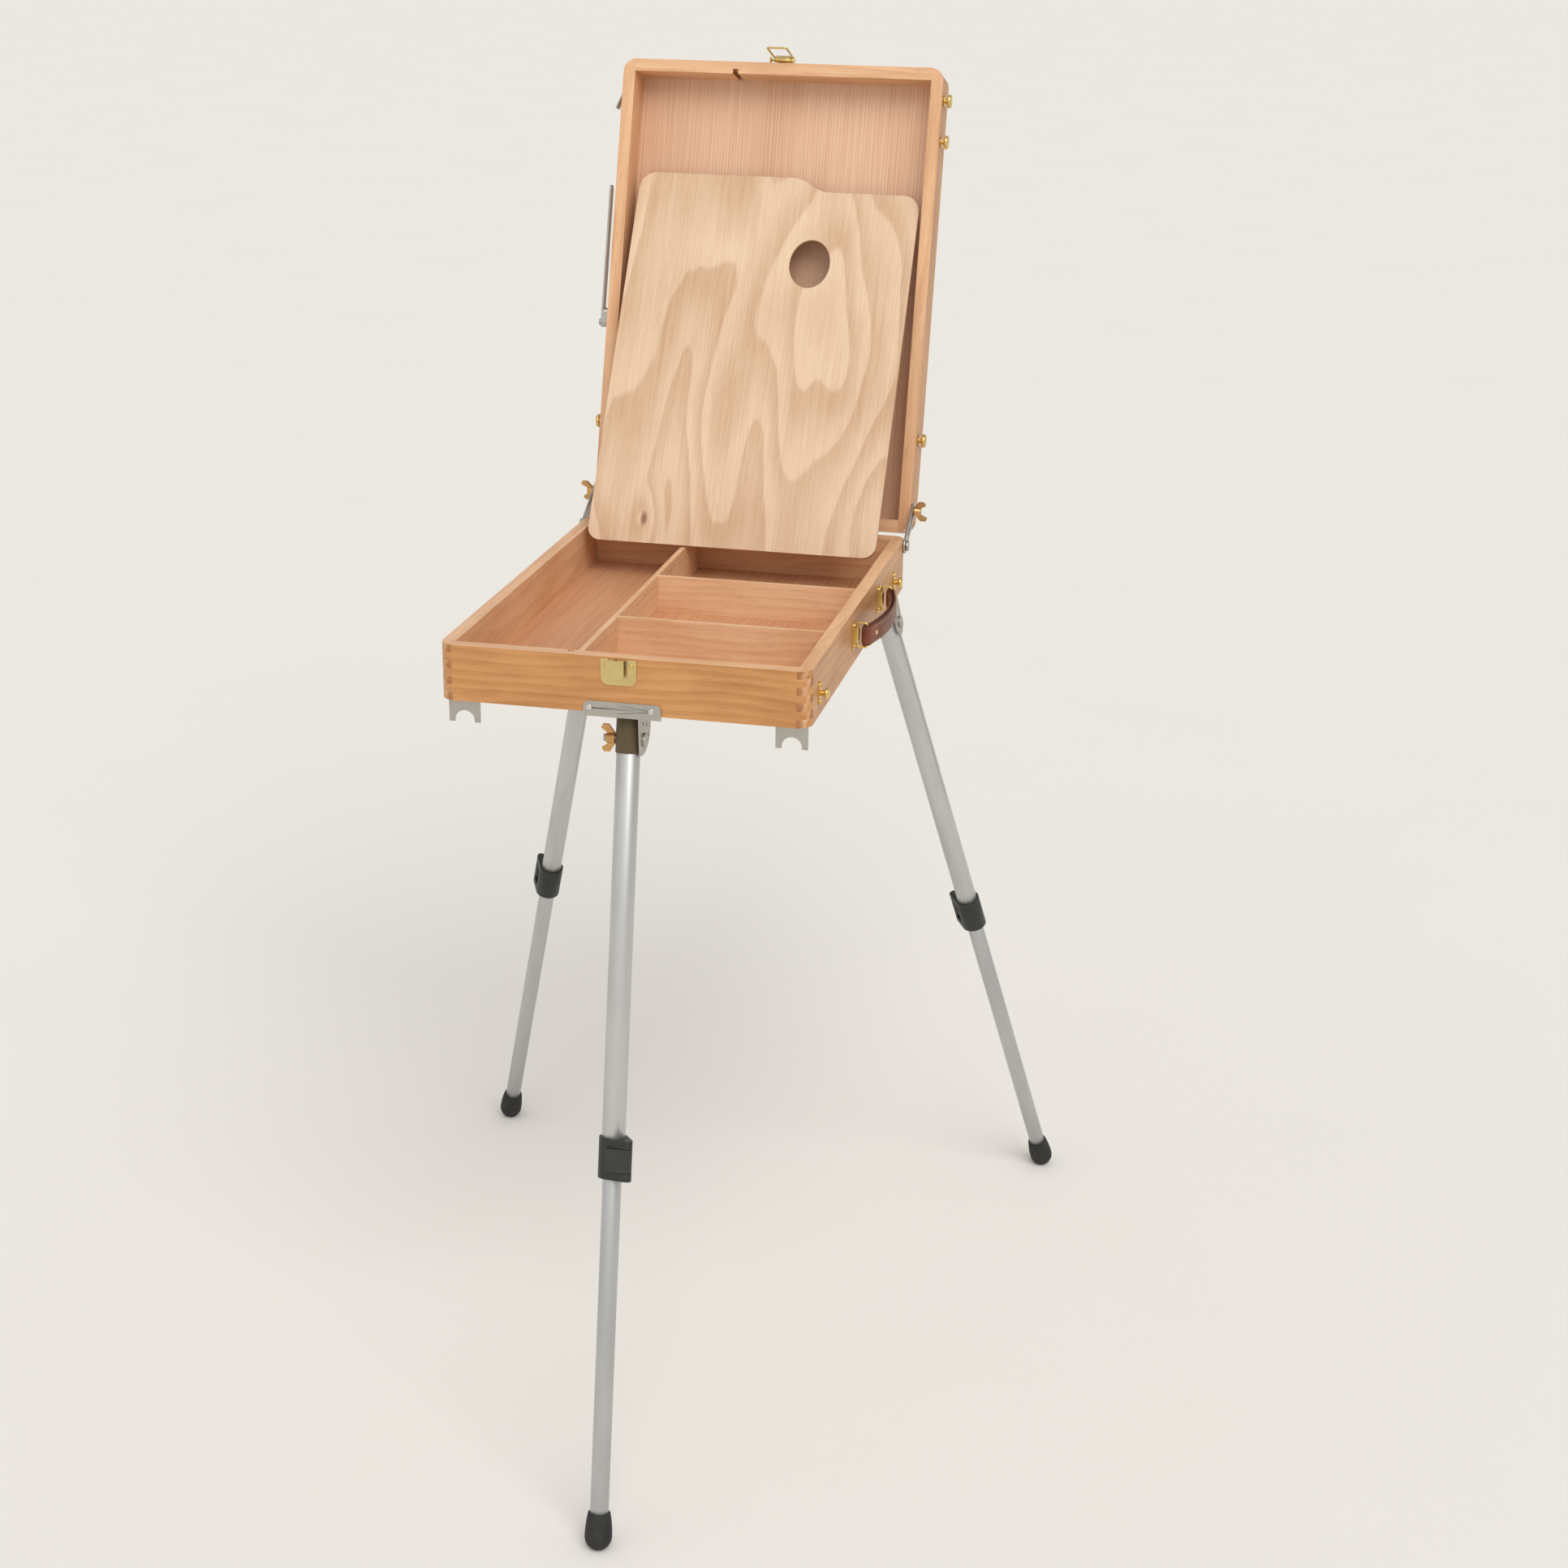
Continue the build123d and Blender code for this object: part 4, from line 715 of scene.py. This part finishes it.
def add_rivet(mesh, centre, out, radius, height, rings=5, sides=24):
    """A low dome, turned from its outline about the way that it faces."""
    side = Vector((0, 0, 1))
    across = side.cross(out).normalized()
    previous = None
    for i in range(rings + 1):
        rise = i / rings
        size = radius * cos(rise * pi / 2) ** 0.8
        middle = centre + out * height * sin(rise * pi / 2)
        if i == rings:
            tip = mesh.verts.new(middle)
            for j in range(sides):
                mesh.faces.new((previous[j], previous[(j + 1) % sides], tip))
            break
        ring = [
            mesh.verts.new(middle + (across * cos(2 * pi * j / sides) + side * sin(2 * pi * j / sides)) * size)
            for j in range(sides)
        ]
        if previous:
            for j in range(sides):
                mesh.faces.new((previous[j], previous[(j + 1) % sides], ring[(j + 1) % sides], ring[j]))
        previous = ring


rivets = bmesh.new()
RIVET_SHARE = 0.105
for share in (RIVET_SHARE, 1 - RIVET_SHARE):
    middle, out = spine(share)
    add_rivet(rivets, middle + out * (face_gap + LEATHER / 2 - 0.05 * MM), out, 2.2 * MM, 0.55 * MM)
handle_rivets = finish_mesh("handle_rivets", rivets, BRASS)
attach(handle_rivets, "tray")
print("2 rivets")

# %% [markdown]
# ## Studio
#
# A pale floor that runs out of sight, an even white sky for the soft fill, and two very wide suns, one high on the
# left as the key and a weaker one from the right. Wide suns light the whole floor evenly, so it stays one seamless
# tone, and leave only a faint soft shadow under each foot.

# %% Floor
paper = Finish("studio_paper")
fibre = paper.noise(paper.coordinates(), 3.0, 2.0)
paper.set(base_color=paper.mix(fibre, colour(233, 230, 224), colour(231, 228, 221)), roughness=0.9)
floor_mesh = bmesh.new()
FLOOR_REACH = 60
for x, y in ((-1, -1), (1, -1), (1, 1), (-1, 1)):
    floor_mesh.verts.new((x * FLOOR_REACH, y * FLOOR_REACH, 0))
floor_mesh.faces.new(floor_mesh.verts)
floor = finish_mesh("studio_floor", floor_mesh, paper.material)

# %% Light
SKY_LIGHT = 0.60
SKY_SEEN = 0.86
world = bpy.data.worlds.new("studio_sky")
world.use_nodes = True
sky = world.node_tree
glow = sky.nodes["Background"]
glow.inputs["Color"].default_value = (1.0, 0.99, 0.975, 1)
glow.inputs["Strength"].default_value = SKY_LIGHT
backdrop = sky.nodes.new("ShaderNodeBackground")
backdrop.inputs["Color"].default_value = (1.0, 0.972, 0.925, 1)
backdrop.inputs["Strength"].default_value = SKY_SEEN
looking = sky.nodes.new("ShaderNodeLightPath")
choose = sky.nodes.new("ShaderNodeMixShader")
sky.links.new(looking.outputs["Is Camera Ray"], choose.inputs[0])
sky.links.new(glow.outputs[0], choose.inputs[1])
sky.links.new(backdrop.outputs[0], choose.inputs[2])
sky.links.new(choose.outputs[0], sky.nodes["World Output"].inputs["Surface"])
bpy.context.scene.world = world
bpy.context.scene.view_settings.view_transform = "Standard"
for name, turn, strength, spread in (
    ("key", (radians(34), radians(26), 0), 1.55, 40),
    ("fill", (radians(50), radians(-35), 0), 0.45, 90),
):
    sun_data = bpy.data.lights.new(name, "SUN")
    sun_data.energy = strength
    sun_data.angle = radians(spread)
    sun = bpy.data.objects.new(name, sun_data)
    sun.rotation_euler = turn
    bpy.context.scene.collection.objects.link(sun)

# %% End
print("done")
